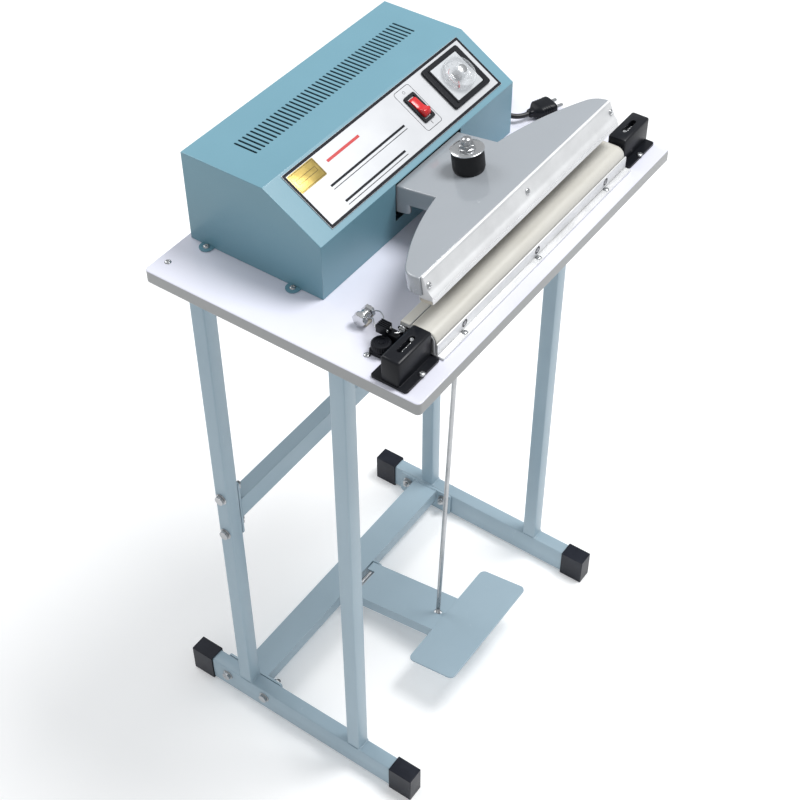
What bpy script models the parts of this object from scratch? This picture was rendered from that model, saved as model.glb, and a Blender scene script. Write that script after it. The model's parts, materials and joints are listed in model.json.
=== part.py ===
"""Pedal impulse heat sealer: a bench-top sealing jaw on a tube stand, worked by a foot pedal.

Units are metres and +Z is up. The origin is on the floor, in the middle of the plan. The person
sealing stands at -Y, and the jaws run along X. Heights named *_rise are above the table's top.
"""

import math

import bmesh
import bpy
from mathutils import Matrix, Vector

# ---------------------------------------------------------------- fits and gauges
gap = 0.0003                 # between pieces that touch
play = 0.0006                # round a pin or a bolt in its hole
sheet = 0.0012               # folded sheet metal
turned_sides = 24            # facets round a large turned piece
small_sides = 12             # facets round a bolt or a pin

# ---------------------------------------------------------------- table
table_width = 0.500
table_depth = 0.346
table_thickness = 0.0155
table_height = 0.766         # floor to the table's top
table_corner = 0.005

# ---------------------------------------------------------------- stand
tube = 0.020                 # square tube of legs, rails and brace
tube_wall = 0.0015
tube_corner = 0.002
runner_height = 0.040
foot_length = 0.370          # cap to cap along Y
foot_setback = 0.022         # table's front edge to the foot's front end
cap_wall = 0.002
cap_length = 0.035
leg_inset = 0.0305           # table's side edge to the middle of a leg
leg_spacing = 0.183          # front leg to back leg, middles
rail_front_inset = 0.056
brace_rise = 0.3695          # floor to the brace's underside
brace_height = 0.032
cross_width = 0.040
cross_height = 0.020
cross_rise = 0.020           # floor to the cross member's underside
flange_length = 0.092
flange_thickness = 0.003
flange_bolt_pitch = 0.064
bolt_radius = 0.003
bolt_head_radius = 0.0062
bolt_head_height = 0.0042

# ---------------------------------------------------------------- pedal and pull rod
mech_x = 0.006               # the jaw arm's, rod's and pedal's common middle
pedal_tilt = math.radians(9.0)
pedal_arm_width = 0.065
pedal_arm_depth = 0.018
pedal_arm_gauge = 0.002
pedal_pivot_ahead = 0.008    # pivot ahead of the cross member's front face
pedal_pivot_rise = 0.033
pedal_pin_radius = 0.004
pedal_plate_width = 0.187
pedal_plate_depth = 0.074
pedal_plate_thickness = 0.003
pedal_plate_corner = 0.008
pedal_reach = 0.220          # pivot to the plate's front edge, along the tilted arm
hook_reach = 0.133           # pivot to the rod's hole, along the tilted arm
rod_radius = 0.003
rod_nut_radius = 0.0065
rod_swing = 0.0016           # rod's top ahead of the middle of its hole, arm open
rod_reach = 0.008            # how far the rod stands up in the cushion
rod_hole_radius = 0.0066
hook_slot_length = 0.0125
hook_slot_width = 0.0072
hook_foot = 0.022            # rod below the middle of the pedal's slot
nut_drop = 0.0095            # slot's middle to the stop nut
nut_length = 0.005
lug_radius = 0.008
pedal_offset_x = 0.0015      # pedal's middle to the side of the rod's
notch_width = 0.035

# ---------------------------------------------------------------- case
case_middle_x = -0.005
case_length = 0.354
case_depth = 0.1755
case_front_inset = 0.1645    # table's front edge to the case's front wall
case_height = 0.110
case_front_height = 0.0675
case_slope_run = 0.0705
ear_radius = 0.008
ear_hole_radius = 0.0022
ear_spacing = 0.115
ear_front_inset = 0.0365
vent_count = 44
vent_pitch = 0.00645
vent_length = 0.0305
vent_width = 0.0028
vent_back_inset = 0.050      # case's back wall to the middle of the slots
vent_middle_x = -0.0007
plate_length = 0.312
plate_height = 0.0725
plate_middle_x = 0.0003
panel_thickness = 0.0008

# ---------------------------------------------------------------- controls on the slope
switch_x = 0.0411
switch_width = 0.0180
switch_length = 0.0350
switch_depth = 0.016
rocker_angle = math.radians(9.0)
timer_x = 0.1108
timer_width = 0.0675
timer_length = 0.0560
timer_thickness = 0.003
knob_radius = 0.0195
knob_height = 0.014
shaft_hole_radius = 0.0035
plate_corner = 0.0012
switch_rim = 0.0022
dial_side_inset = 0.0095
dial_end_inset = 0.0060

# ---------------------------------------------------------------- jaw arm
pivot_inset = 0.230          # table's front edge to the arm's pivot
pivot_rise = 0.040
open_tilt = math.radians(8.1)
arm_top_rise = 0.0536        # plate's top with the arm level
arm_gauge = 0.003
arm_front_inset = 0.0486
arm_arc_radius = 0.337
arm_arc_inset = 0.1192       # table's front edge to the top of the arc
arm_half_width = 0.1815
arm_end_radius = 0.022
arm_skirt = 0.021
neck_width = 0.117
neck_depth = 0.033           # side plates of the neck, plate's top to their lower edge
neck_back_inset = 0.262
neck_side_inset = 0.149
side_step = 0.0002           # side plates stand in from the edge of the neck
mouth_rise = 0.018           # case's floor to the opening that the neck passes through
mouth_room = 0.002
pivot_shaft_radius = 0.004
ear_gauge = 0.003
spring_back = 0.026          # pivot to the return spring's middle
spring_radius = 0.006
spring_wire = 0.0008
spring_turns = 7
cushion_radius = 0.0172
cushion_height = 0.0235
washer_radius = 0.0182
washer_thickness = 0.0016
nut_radius = 0.0075
nut_height = 0.006

# ---------------------------------------------------------------- jaws
upper_bar_length = 0.358
bar_front_inset = 0.0372     # foot of the bar's sloped face
bar_top_inset = 0.0462       # top of the bar's sloped face
bar_back_inset = 0.0530
bar_bottom_rise = 0.0285
bar_lip = 0.0042
strip_width = 0.0140
strip_height = 0.0048
lower_jaw_x = -0.00075
lower_jaw_length = 0.3715
jaw_flange_inset = 0.015
jaw_flange_thickness = 0.0025
jaw_front_inset = 0.0260
jaw_top_rise = 0.0259
jaw_round = 0.0085
jaw_groove_inset = 0.0535
jaw_groove_width = 0.0012
jaw_groove_depth = 0.0022
jaw_rail_rise = 0.0275
jaw_back_inset = 0.0650
jaw_wall = 0.0022
element_width = 0.004
element_thickness = 0.0003
cloth_thickness = 0.0004
cloth_front_rise = 0.0125
clamp_foot = 0.0031          # jaw's underside to the clamp strip's lower edge
clamp_head = 0.0168
clamp_thickness = 0.0022
bracket_length = 0.057
bracket_depth = 0.043
bracket_front_inset = 0.018
bracket_body_depth = 0.022
bracket_body_inset = 0.0275
bracket_height = 0.033
bracket_flange = 0.003
bracket_slot_length = 0.027
bracket_slot_width = 0.006
bracket_slot_depth = 0.010
tension_knob_radius = 0.0105
tension_knob_height = 0.008
tension_knob_x = 0.0345      # bracket's outer end to the knob's middle
tension_knob_y = 0.054       # bracket's front edge to the knob's middle
tension_stem_radius = 0.003
boss_height = 0.005
block_height = 0.016

# ---------------------------------------------------------------- mains lead
cord_radius = 0.003
cord_lift = 0.0002           # table to the cord's underside
relief_length = 0.026
relief_radius = 0.0055
relief_rise = 0.010
relief_inset = 0.331         # table's front edge to the relief
lead_bend = 0.025
lead_straight = 0.0134       # relief's end to the start of the lead's bend
hank_length = 0.100
hank_width = 0.059
hank_height = 0.0200
hank_x = 0.2105
hank_inset = 0.207           # table's front edge to the hank's front end
tail_leaves = math.radians(83)    # where the tail's bend starts, over the hank
tail_start = math.radians(124)    # where it is clear of the hank, and its solid starts
plug_x = 0.2045
plug_inset = 0.161
plug_turn = math.radians(-22)
plug_length = 0.034
plug_width = 0.026
plug_neck = 0.012
plug_thickness = 0.016
pin_length = 0.011
pin_radius = 0.002
pin_spacing = 0.012

# ---------------------------------------------------------------- places worked out from the sizes
plan_depth = foot_setback + foot_length
front_edge = -plan_depth / 2
back_edge = front_edge + table_depth
foot_front = front_edge + foot_setback
foot_back = foot_front + foot_length
foot_middle = (foot_front + foot_back) / 2
leg_x = table_width / 2 - leg_inset
leg_back_y = foot_middle + leg_spacing / 2
leg_front_y = foot_middle - leg_spacing / 2
table_under = table_height - table_thickness
rail_bottom = table_under - gap - tube
runner_top = cap_wall + runner_height
case_front = front_edge + case_front_inset
case_back = case_front + case_depth
case_floor = table_height + gap
case_left = case_middle_x - case_length / 2
case_right = case_middle_x + case_length / 2
slope_start = case_front + case_slope_run
slope_drop = case_height - case_front_height
slope_length = math.hypot(case_slope_run, slope_drop)
slope_angle = math.atan2(slope_drop, case_slope_run)
slope_middle = slope_length * 0.54
plate_middle = slope_length * 0.52
plate_lift = gap
bezel_lift = plate_lift + panel_thickness + gap
rocker_lift = bezel_lift + 0.0006
relief_y = front_edge + relief_inset
relief_z = table_height + relief_rise
base_top = case_floor + sheet + gap
pedal_x = mech_x + pedal_offset_x
pedal_lug_half = pedal_arm_width / 2 + play  # half the space between the lugs
pivot_y = front_edge + pivot_inset
pivot_z = table_height + pivot_rise
seal_y = front_edge + (bar_front_inset + bar_back_inset) / 2
jaw_top_z = table_height + gap + jaw_top_rise
element_bottom = jaw_top_z + gap
cloth_offset = element_thickness + 2 * gap
cloth_top = jaw_top_z + cloth_offset + cloth_thickness


def about_pivot(y, z, angle):
    """Where a point of the level arm goes when the arm is tilted up in front by angle."""
    dy = y - pivot_y
    dz = z - pivot_z
    return (
        pivot_y + dy * math.cos(angle) + dz * math.sin(angle),
        pivot_z - dy * math.sin(angle) + dz * math.cos(angle),
    )


# The strip's back lower corner meets the cloth first, which sets the arm's tilt when shut.
strip_bottom = table_height + bar_bottom_rise - gap - strip_height
strip_back_y = seal_y + strip_width / 2
corner_reach = math.hypot(pivot_y - strip_back_y, pivot_z - strip_bottom)
corner_level = math.asin((strip_bottom - pivot_z) / corner_reach)
shut_tilt = math.asin((cloth_top + gap - pivot_z) / corner_reach) - corner_level

# The pull rod leans: its lower hole is in the pedal's arm and its upper one in the jaw arm.
cross_y = leg_back_y
pedal_pivot_y = cross_y - cross_width / 2 - pedal_pivot_ahead
pedal_pivot_z = pedal_pivot_rise
pedal_top_rise = 0.006       # pivot to the top of the pedal's arm, square to the arm
hook_y = pedal_pivot_y - hook_reach * math.cos(pedal_tilt) + pedal_top_rise * math.sin(pedal_tilt)
hook_z = pedal_pivot_z + hook_reach * math.sin(pedal_tilt) + pedal_top_rise * math.cos(pedal_tilt)
hole_inset = 0.111           # table's front edge to the rod's hole, arm level
arm_top_z = table_height + arm_top_rise
rod_hole_y = front_edge + hole_inset
rod_top_y, rod_top_z = about_pivot(rod_hole_y - rod_swing, arm_top_z + rod_reach, open_tilt)
rod_lean = math.atan2(hook_y - rod_top_y, rod_top_z - hook_z)


def clear_scene():
    for found in list(bpy.data.objects):
        bpy.data.objects.remove(found, do_unlink=True)
    bpy.context.scene.unit_settings.system = "METRIC"
    bpy.context.scene.unit_settings.scale_length = 1.0


# ---------------------------------------------------------------- materials
def make_material(name, colour, roughness, metallic=0.0):
    made = bpy.data.materials.new(name)
    made.use_nodes = True
    shader = made.node_tree.nodes["Principled BSDF"]
    shader.inputs["Base Color"].default_value = (*colour, 1.0)
    shader.inputs["Roughness"].default_value = roughness
    shader.inputs["Metallic"].default_value = metallic
    return made


def make_materials():
    listed = {
        "stand_paint": ((0.38, 0.48, 0.55), 0.45, 0.0),
        "case_paint": ((0.14, 0.36, 0.44), 0.40, 0.0),
        "arm_paint": ((0.42, 0.45, 0.48), 0.40, 0.2),
        "laminate": ((0.76, 0.76, 0.82), 0.35, 0.0),
        "aluminium": ((0.70, 0.72, 0.74), 0.32, 1.0),
        "plated_steel": ((0.62, 0.63, 0.65), 0.25, 1.0),
        "spring_steel": ((0.45, 0.45, 0.47), 0.35, 1.0),
        "black_plastic": ((0.02, 0.022, 0.026), 0.45, 0.0),
        "red_plastic": ((0.60, 0.02, 0.03), 0.25, 0.0),
        "clear_plastic": ((0.70, 0.72, 0.74), 0.12, 0.0),
        "plate_white": ((0.80, 0.80, 0.82), 0.30, 0.0),
        "rubber": ((0.02, 0.02, 0.022), 0.65, 0.0),
        "silicone": ((0.70, 0.66, 0.56), 0.55, 0.0),
        "ptfe_cloth": ((0.68, 0.66, 0.58), 0.50, 0.0),
        "nichrome": ((0.30, 0.28, 0.26), 0.40, 1.0),
        "laminations": ((0.16, 0.16, 0.18), 0.50, 0.8),
        "winding": ((0.50, 0.20, 0.06), 0.40, 0.3),
        "circuit_board": ((0.03, 0.16, 0.06), 0.40, 0.0),
        "cord_pvc": ((0.015, 0.015, 0.017), 0.50, 0.0),
    }
    return {name: make_material(name, *values) for name, values in listed.items()}


# ---------------------------------------------------------------- outlines
def box_outline(u0, v0, u1, v1):
    return [(u0, v0), (u1, v0), (u1, v1), (u0, v1)]


def arc(u, v, radius, start, end, steps):
    turned = [start + (end - start) * i / steps for i in range(steps + 1)]
    return [(u + radius * math.cos(a), v + radius * math.sin(a)) for a in turned]


def round_box(u0, v0, u1, v1, radius, steps=3):
    quarter = math.pi / 2
    corners = ((u1, v0, -quarter), (u1, v1, 0.0), (u0, v1, quarter), (u0, v0, 2 * quarter))
    points = []
    for u, v, start in corners:
        inner_u = u - radius if u == u1 else u + radius
        inner_v = v - radius if v == v1 else v + radius
        points += arc(inner_u, inner_v, radius, start, start + quarter, steps)
    return points


def circle(u, v, radius, sides=small_sides):
    return arc(u, v, radius, 0.0, 2 * math.pi * (sides - 1) / sides, sides - 1)


def stadium(u, v, length, width, steps=6):
    """A slot outline, long way along U."""
    half = (length - width) / 2
    right = arc(u + half, v, width / 2, -math.pi / 2, math.pi / 2, steps)
    left = arc(u - half, v, width / 2, math.pi / 2, 3 * math.pi / 2, steps)
    return right + left


def offset_line(points, distance):
    """The open line moved to its left by distance, corners kept sharp."""
    moved = []
    for i, (u, v) in enumerate(points):
        before = Vector(points[i]) - Vector(points[i - 1]) if i else None
        after = Vector(points[i + 1]) - Vector(points[i]) if i + 1 < len(points) else None
        sides = [Vector((-d.y, d.x)).normalized() for d in (before, after) if d is not None]
        normal = sum(sides, Vector((0.0, 0.0))).normalized()
        stretch = distance / max(normal.dot(sides[0]), 0.5)
        moved.append((u + normal.x * stretch, v + normal.y * stretch))
    return moved


# ---------------------------------------------------------------- solids
def finish(name, made, material, smooth=False):
    bmesh.ops.recalc_face_normals(made, faces=made.faces[:])
    mesh = bpy.data.meshes.new(name)
    made.to_mesh(mesh)
    made.free()
    if smooth:
        mesh.shade_smooth()
        mesh.set_sharp_from_angle(angle=math.radians(35))
    mesh.materials.append(material)
    thing = bpy.data.objects.new(name, mesh)
    bpy.context.scene.collection.objects.link(thing)
    return thing


def along(axis, start):
    """Places an outline's U and V and its thickness W: X gives Y,Z,X; Y gives X,Z,-Y; Z gives X,Y,Z."""
    columns = {
        "X": ((0, 1, 0), (0, 0, 1), (1, 0, 0)),
        "Y": ((1, 0, 0), (0, 0, 1), (0, -1, 0)),
        "Z": ((1, 0, 0), (0, 1, 0), (0, 0, 1)),
    }[axis]
    turn = Matrix(columns).transposed().to_4x4()
    shift = {"X": (start, 0, 0), "Y": (0, start, 0), "Z": (0, 0, start)}[axis]
    return Matrix.Translation(shift) @ turn


def prism(name, outlines, place, length, material, smooth=False):
    """A solid of the first outline, with the others as holes through it."""
    made = bmesh.new()
    for outline in outlines:
        ring = [made.verts.new((u, v, 0.0)) for u, v in outline]
        for i, vert in enumerate(ring):
            made.edges.new((ring[i - 1], vert))
    bmesh.ops.triangle_fill(made, use_beauty=True, edges=made.edges[:], normal=(0, 0, 1))
    bottom = made.faces[:]
    raised = bmesh.ops.extrude_face_region(made, geom=bottom)
    lifted = [item for item in raised["geom"] if isinstance(item, bmesh.types.BMVert)]
    bmesh.ops.translate(made, vec=(0, 0, length), verts=lifted)
    bmesh.ops.transform(made, matrix=place, verts=made.verts[:])
    return finish(name, made, material, smooth)


def block(name, low, high, material, bevel=0.0, segments=2):
    made = bmesh.new()
    size = Vector(high) - Vector(low)
    middle = (Vector(high) + Vector(low)) / 2
    place = Matrix.Translation(middle) @ Matrix.Diagonal((*size, 1.0))
    bmesh.ops.create_cube(made, size=1.0, matrix=place)
    if bevel:
        bmesh.ops.bevel(
            made, geom=made.edges[:], offset=bevel, segments=segments, affect="EDGES", profile=0.5
        )
    return finish(name, made, material, smooth=bool(bevel))


def cup(name, low, high, wall, open_normal, material):
    """A box with a pocket in the side that open_normal points out of."""
    made = bmesh.new()
    size = Vector(high) - Vector(low)
    middle = (Vector(high) + Vector(low)) / 2
    direction = Vector(open_normal)
    place = Matrix.Translation(middle) @ Matrix.Diagonal((*size, 1.0))
    bmesh.ops.create_cube(made, size=1.0, matrix=place)
    mouth = [face for face in made.faces if face.normal.dot(direction) > 0.9]
    bmesh.ops.inset_region(made, faces=mouth, thickness=wall, use_even_offset=True)
    pushed = bmesh.ops.extrude_face_region(made, geom=mouth)
    verts = [item for item in pushed["geom"] if isinstance(item, bmesh.types.BMVert)]
    depth = abs(size.dot(direction)) - wall
    bmesh.ops.translate(made, vec=-direction * depth, verts=verts)
    bmesh.ops.delete(made, geom=mouth, context="FACES_ONLY")
    return finish(name, made, material)


def turned(name, profile, place, material, sides=turned_sides, smooth=True):
    """A solid of revolution about W from (radius, height) points, running up its outer side."""
    made = bmesh.new()
    rings = []
    for radius, height in profile:
        if radius == 0.0:
            rings.append([made.verts.new((0, 0, height))])
            continue
        angles = [2 * math.pi * i / sides for i in range(sides)]
        rings.append(
            [made.verts.new((radius * math.cos(a), radius * math.sin(a), height)) for a in angles]
        )
    for lower, upper in zip(rings, rings[1:] + rings[:1]):
        if len(lower) == 1 and len(upper) == 1:
            continue
        for i in range(sides):
            j = (i + 1) % sides
            if len(lower) == 1:
                made.faces.new((lower[0], upper[j], upper[i]))
            elif len(upper) == 1:
                made.faces.new((lower[i], lower[j], upper[0]))
            else:
                made.faces.new((lower[i], lower[j], upper[j], upper[i]))
    bmesh.ops.transform(made, matrix=place, verts=made.verts[:])
    return finish(name, made, material, smooth)


def rod(name, radius, place, length, material, sides=small_sides):
    return turned(name, [(0, 0), (radius, 0), (radius, length), (0, length)], place, material, sides)


def combine(target, others, operation):
    """Adds others to target, or cuts them from it, and hides them."""
    for other in others:
        step = target.modifiers.new(other.name, "BOOLEAN")
        step.operation = operation
        step.solver = "EXACT"
        step.object = other
        other.hide_render = True
        other.display_type = "WIRE"
    return target


def hang_on(pivot, things):
    for thing in things:
        thing.parent = pivot
        thing.matrix_parent_inverse = pivot.matrix_world.inverted()


def pivot_at(name, location):
    pivot = bpy.data.objects.new(name, None)
    pivot.empty_display_size = 0.02
    bpy.context.scene.collection.objects.link(pivot)
    pivot.location = location
    bpy.context.view_layer.update()
    return pivot


def slope_place(x, up_slope, lift):
    """A frame on the case's sloped face: U is X, V runs up the slope and W stands off it."""
    c = math.cos(slope_angle)
    s = math.sin(slope_angle)
    turn = Matrix(((1, 0, 0), (0, c, -s), (0, s, c))).to_4x4()
    foot = Vector((x, case_front, case_floor + case_front_height))
    along_slope = Vector((0, c, s)) * up_slope
    off_slope = Vector((0, -s, c)) * lift
    return Matrix.Translation(foot + along_slope + off_slope) @ turn


def smooth_route(points, steps):
    """A smooth curve through the points, with steps stretches from each to the next."""
    ends = [points[0] * 2 - points[1], *points, points[-1] * 2 - points[-2]]
    found = []
    for a, b, c, d in zip(ends, ends[1:], ends[2:], ends[3:]):
        for i in range(steps):
            t = i / steps
            found.append(
                (b * 2 + (c - a) * t + (a * 2 - b * 5 + c * 4 - d) * t**2
                 + (b * 3 - a - c * 3 + d) * t**3) / 2
            )
    return [*found, points[-1]]


def tube_along(name, points, radius, material, resolution=2):
    curve = bpy.data.curves.new(name, "CURVE")
    curve.dimensions = "3D"
    curve.bevel_depth = radius
    curve.bevel_resolution = resolution
    curve.use_fill_caps = True
    line = curve.splines.new("POLY")
    line.points.add(len(points) - 1)
    for spot, point in zip(line.points, points):
        spot.co = (*point, 1.0)
    curve.materials.append(material)
    thing = bpy.data.objects.new(name, curve)
    bpy.context.scene.collection.objects.link(thing)
    return thing


# ---------------------------------------------------------------- table and stand
def build_table(mats):
    """The board, with a slot that the pull rod passes through."""
    half = table_width / 2
    rod_y = rod_top_y + (rod_top_z - table_height) * math.tan(rod_lean)
    slot = circle(mech_x, rod_y, rod_hole_radius, turned_sides)
    board = round_box(-half, front_edge, half, back_edge, table_corner)
    place = along("Z", table_under)
    prism("table_top", [board, slot], place, table_thickness, mats["laminate"])
    for name, side in (("left", -1), ("right", 1)):
        x = side * leg_x
        outer = round_box(x - tube / 2, rail_bottom, x + tube / 2, rail_bottom + tube, tube_corner, 2)
        w = tube_wall
        inner = box_outline(
            x - tube / 2 + w, rail_bottom + w, x + tube / 2 - w, rail_bottom + tube - w
        )
        length = back_edge - front_edge - rail_front_inset
        prism(f"top_rail_{name}", [outer, inner], along("Y", back_edge), length, mats["stand_paint"])


def build_legs(mats):
    for side_name, side in (("left", -1), ("right", 1)):
        for end_name, y in (("front", leg_front_y), ("back", leg_back_y)):
            x = side * leg_x
            half = tube / 2
            outer = round_box(x - half, y - half, x + half, y + half, tube_corner, 2)
            hollow = half - tube_wall
            inner = box_outline(x - hollow, y - hollow, x + hollow, y + hollow)
            foot = runner_top + gap
            leg = prism(
                f"leg_{end_name}_{side_name}", [outer, inner], along("Z", foot),
                rail_bottom - gap - foot, mats["stand_paint"],
            )
            if end_name == "back":
                holes = [
                    rod(f"cut_leg_{side_name}_{i}", bolt_radius + play, along("X", x - tube),
                        2 * tube, mats["stand_paint"])
                    for i in range(2)
                ]
                for hole, z in zip(holes, brace_bolt_heights()):
                    hole.location = (0, y, z)
                combine(leg, holes, "DIFFERENCE")


def build_runners(mats):
    """Rectangular tubes along Y with a push-on cap at each end."""
    for side_name, side in (("left", -1), ("right", 1)):
        x = side * leg_x
        half = tube / 2
        outer = round_box(x - half, cap_wall, x + half, runner_top, tube_corner, 2)
        w = tube_wall
        inner = box_outline(x - half + w, cap_wall + w, x + half - w, runner_top - w)
        start = foot_back - cap_wall
        length = foot_length - 2 * cap_wall
        prism(f"runner_{side_name}", [outer, inner], along("Y", start), length, mats["stand_paint"])
        for end_name, y0, y1, mouth in (
            ("front", foot_front, foot_front + cap_length, 1),
            ("back", foot_back - cap_length, foot_back, -1),
        ):
            cup(
                f"cap_{end_name}_{side_name}",
                (x - half - cap_wall, y0, 0.0),
                (x + half + cap_wall, y1, runner_top + cap_wall),
                cap_wall - gap,
                (0, mouth, 0),
                mats["rubber"],
            )


def brace_bolt_heights():
    middle = brace_rise + brace_height / 2
    return middle - flange_bolt_pitch / 2, middle + flange_bolt_pitch / 2


def build_cross_pieces(mats):
    """The upper brace and the lower cross member, each a tube with a flange plate at both ends."""
    paint = mats["stand_paint"]
    reach = leg_x - tube / 2 - gap
    w = tube_wall
    half = tube / 2
    middle = brace_rise + brace_height / 2
    span = box_outline(leg_back_y - half, brace_rise, leg_back_y + half, brace_rise + brace_height)
    tall_bore = box_outline(
        leg_back_y - half + w, brace_rise + w, leg_back_y + half - w, brace_rise + brace_height - w
    )
    brace = prism("upper_brace", [span, tall_bore], along("X", -reach), 2 * reach, paint)
    low = cross_rise
    span = box_outline(cross_y - cross_width / 2, low, cross_y + cross_width / 2, low + cross_height)
    wide_bore = box_outline(
        cross_y - cross_width / 2 + w, low + w, cross_y + cross_width / 2 - w, low + cross_height - w
    )
    cross = prism("cross_member", [span, wide_bore], along("X", -reach), 2 * reach, paint)
    lengths = flange_length / 2
    tall = round_box(leg_back_y - half, middle - lengths, leg_back_y + half, middle + lengths, 0.004)
    tall_holes = [
        circle(leg_back_y, z, bolt_radius + play) for z in brace_bolt_heights()
    ]
    wide = round_box(cross_y - lengths, cap_wall, cross_y + lengths, runner_top, 0.004)
    for side, start in ((-1, -reach), (1, reach - flange_thickness)):
        for target, outlines, kind in (
            (brace, [tall, tall_bore, *tall_holes], "tall"),
            (cross, [wide, wide_bore], "wide"),
        ):
            name = f"join_{kind}_{'left' if side < 0 else 'right'}"
            plate = prism(name, outlines, along("X", start), flange_thickness, paint)
            combine(target, [plate], "UNION")
    lugs = []
    for i, x in enumerate((-pedal_lug_half - pedal_arm_gauge, pedal_lug_half)):
        shape = [
            (cross_y - cross_width / 2 + w / 2, low + w / 2),
            (cross_y - cross_width / 2 + w / 2, low + cross_height - w / 2),
            *arc(pedal_pivot_y, pedal_pivot_z, lug_radius, math.pi / 3, math.pi * 4 / 3, 6),
        ]
        hole = circle(pedal_pivot_y, pedal_pivot_z, pedal_pin_radius + gap)
        place = along("X", pedal_x + x)
        lugs.append(prism(f"join_lug_{i}", [shape, hole], place, pedal_arm_gauge, paint))
    combine(cross, lugs, "UNION")


def build_brace_bolts(mats):
    for side_name, side in (("left", -1), ("right", 1)):
        for i, z in enumerate(brace_bolt_heights()):
            outside = side * (leg_x + tube / 2 + gap)
            length = tube + flange_thickness + 2 * gap + 0.004
            profile = [
                (0, -length), (bolt_radius, -length), (bolt_radius, 0), (bolt_head_radius, 0),
                (bolt_head_radius, bolt_head_height * 0.6), (bolt_head_radius * 0.7, bolt_head_height),
                (0, bolt_head_height),
            ]
            turn = Matrix.Rotation(side * math.pi / 2, 4, "Y")
            place = Matrix.Translation((outside, leg_back_y, z)) @ turn
            turned(f"brace_bolt_{side_name}_{i + 1}", profile, place, mats["plated_steel"], small_sides)


# ---------------------------------------------------------------- pedal and pull rod
def build_pedal(mats):
    """A folded arm on a pin, with a tread plate over its free end."""
    paint = mats["stand_paint"]
    pivot = pivot_at("pedal_pivot", (pedal_x, pedal_pivot_y, pedal_pivot_z))
    half = pedal_arm_width / 2
    top = pedal_top_rise
    back = pedal_pivot_ahead - 0.0025
    front = -(pedal_reach - 0.016)
    low = top - pedal_arm_depth
    inner = half - pedal_arm_gauge
    ceiling = top - pedal_arm_gauge
    section = [
        (-half, low), (-half, top), (half, top), (half, low),
        (inner, low), (inner, ceiling), (-inner, ceiling), (-inner, low),
    ]
    channel = prism("pedal_arm", [section], along("Y", back), back - front, paint)
    pin_hole = rod("cut_pedal_pin", pedal_pin_radius + play, along("X", -half * 2), half * 4, paint)
    outline = stadium(0, 0, hook_slot_length, hook_slot_width)
    slot = [(-pedal_offset_x - v, u - hook_reach) for u, v in outline]
    hook_hole = prism("cut_pedal_hook", [slot], along("Z", -0.02), 0.05, paint)
    notch_low = (-notch_width / 2, -pedal_pivot_ahead, -0.03)
    notch = block("cut_pedal_notch", notch_low, (notch_width / 2, back + 0.01, 0.03), paint)
    combine(channel, [pin_hole, hook_hole, notch], "DIFFERENCE")
    plate_place = along("Z", top + gap)
    wide = pedal_plate_width / 2
    tread = prism(
        "pedal_plate",
        [round_box(-wide, -pedal_reach, wide, -pedal_reach + pedal_plate_depth, pedal_plate_corner, 4)],
        plate_place, pedal_plate_thickness, paint,
    )
    for thing in (channel, tread, pin_hole, hook_hole, notch):
        thing.parent = pivot
    pivot.rotation_euler.x = -pedal_tilt
    reach = pedal_lug_half + pedal_arm_gauge + 0.002
    pin_place = Matrix.Translation((0, pedal_pivot_y, pedal_pivot_z)) @ along("X", pedal_x - reach)
    rod("pedal_pin", pedal_pin_radius, pin_place, 2 * reach, mats["plated_steel"])


def build_pull_rod(mats):
    """A thin rod whose top stands in the cushion, with a stop nut under the pedal's arm."""
    direction = Vector((0, math.sin(rod_lean), -math.cos(rod_lean)))
    top = Vector((mech_x, rod_top_y, rod_top_z))
    length = math.hypot(rod_top_y - hook_y, rod_top_z - hook_z) + hook_foot
    lean = Matrix.Rotation(math.pi + rod_lean, 4, "X")
    rod("pull_rod", rod_radius, Matrix.Translation(top) @ lean, length, mats["plated_steel"])
    nut_top = top + direction * (length - hook_foot + nut_drop)
    place = Matrix.Translation(nut_top) @ lean
    outline = circle(0, 0, rod_nut_radius, 6)
    bore = circle(0, 0, rod_radius + gap)
    prism("rod_nut", [outline, bore], place, nut_length, mats["plated_steel"])


# ---------------------------------------------------------------- case
def case_profile(inset):
    """The cover's outline in Y and Z, moved inwards by inset except at its open foot."""
    floor = case_floor
    outline = [
        (case_front, floor), (case_front, floor + case_front_height),
        (case_front + case_slope_run, floor + case_height), (case_back, floor + case_height),
        (case_back, floor),
    ]
    if not inset:
        return outline
    moved = offset_line(outline, -inset)
    return [(moved[0][0], floor - 0.01), *moved[1:-1], (moved[-1][0], floor - 0.01)]


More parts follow.
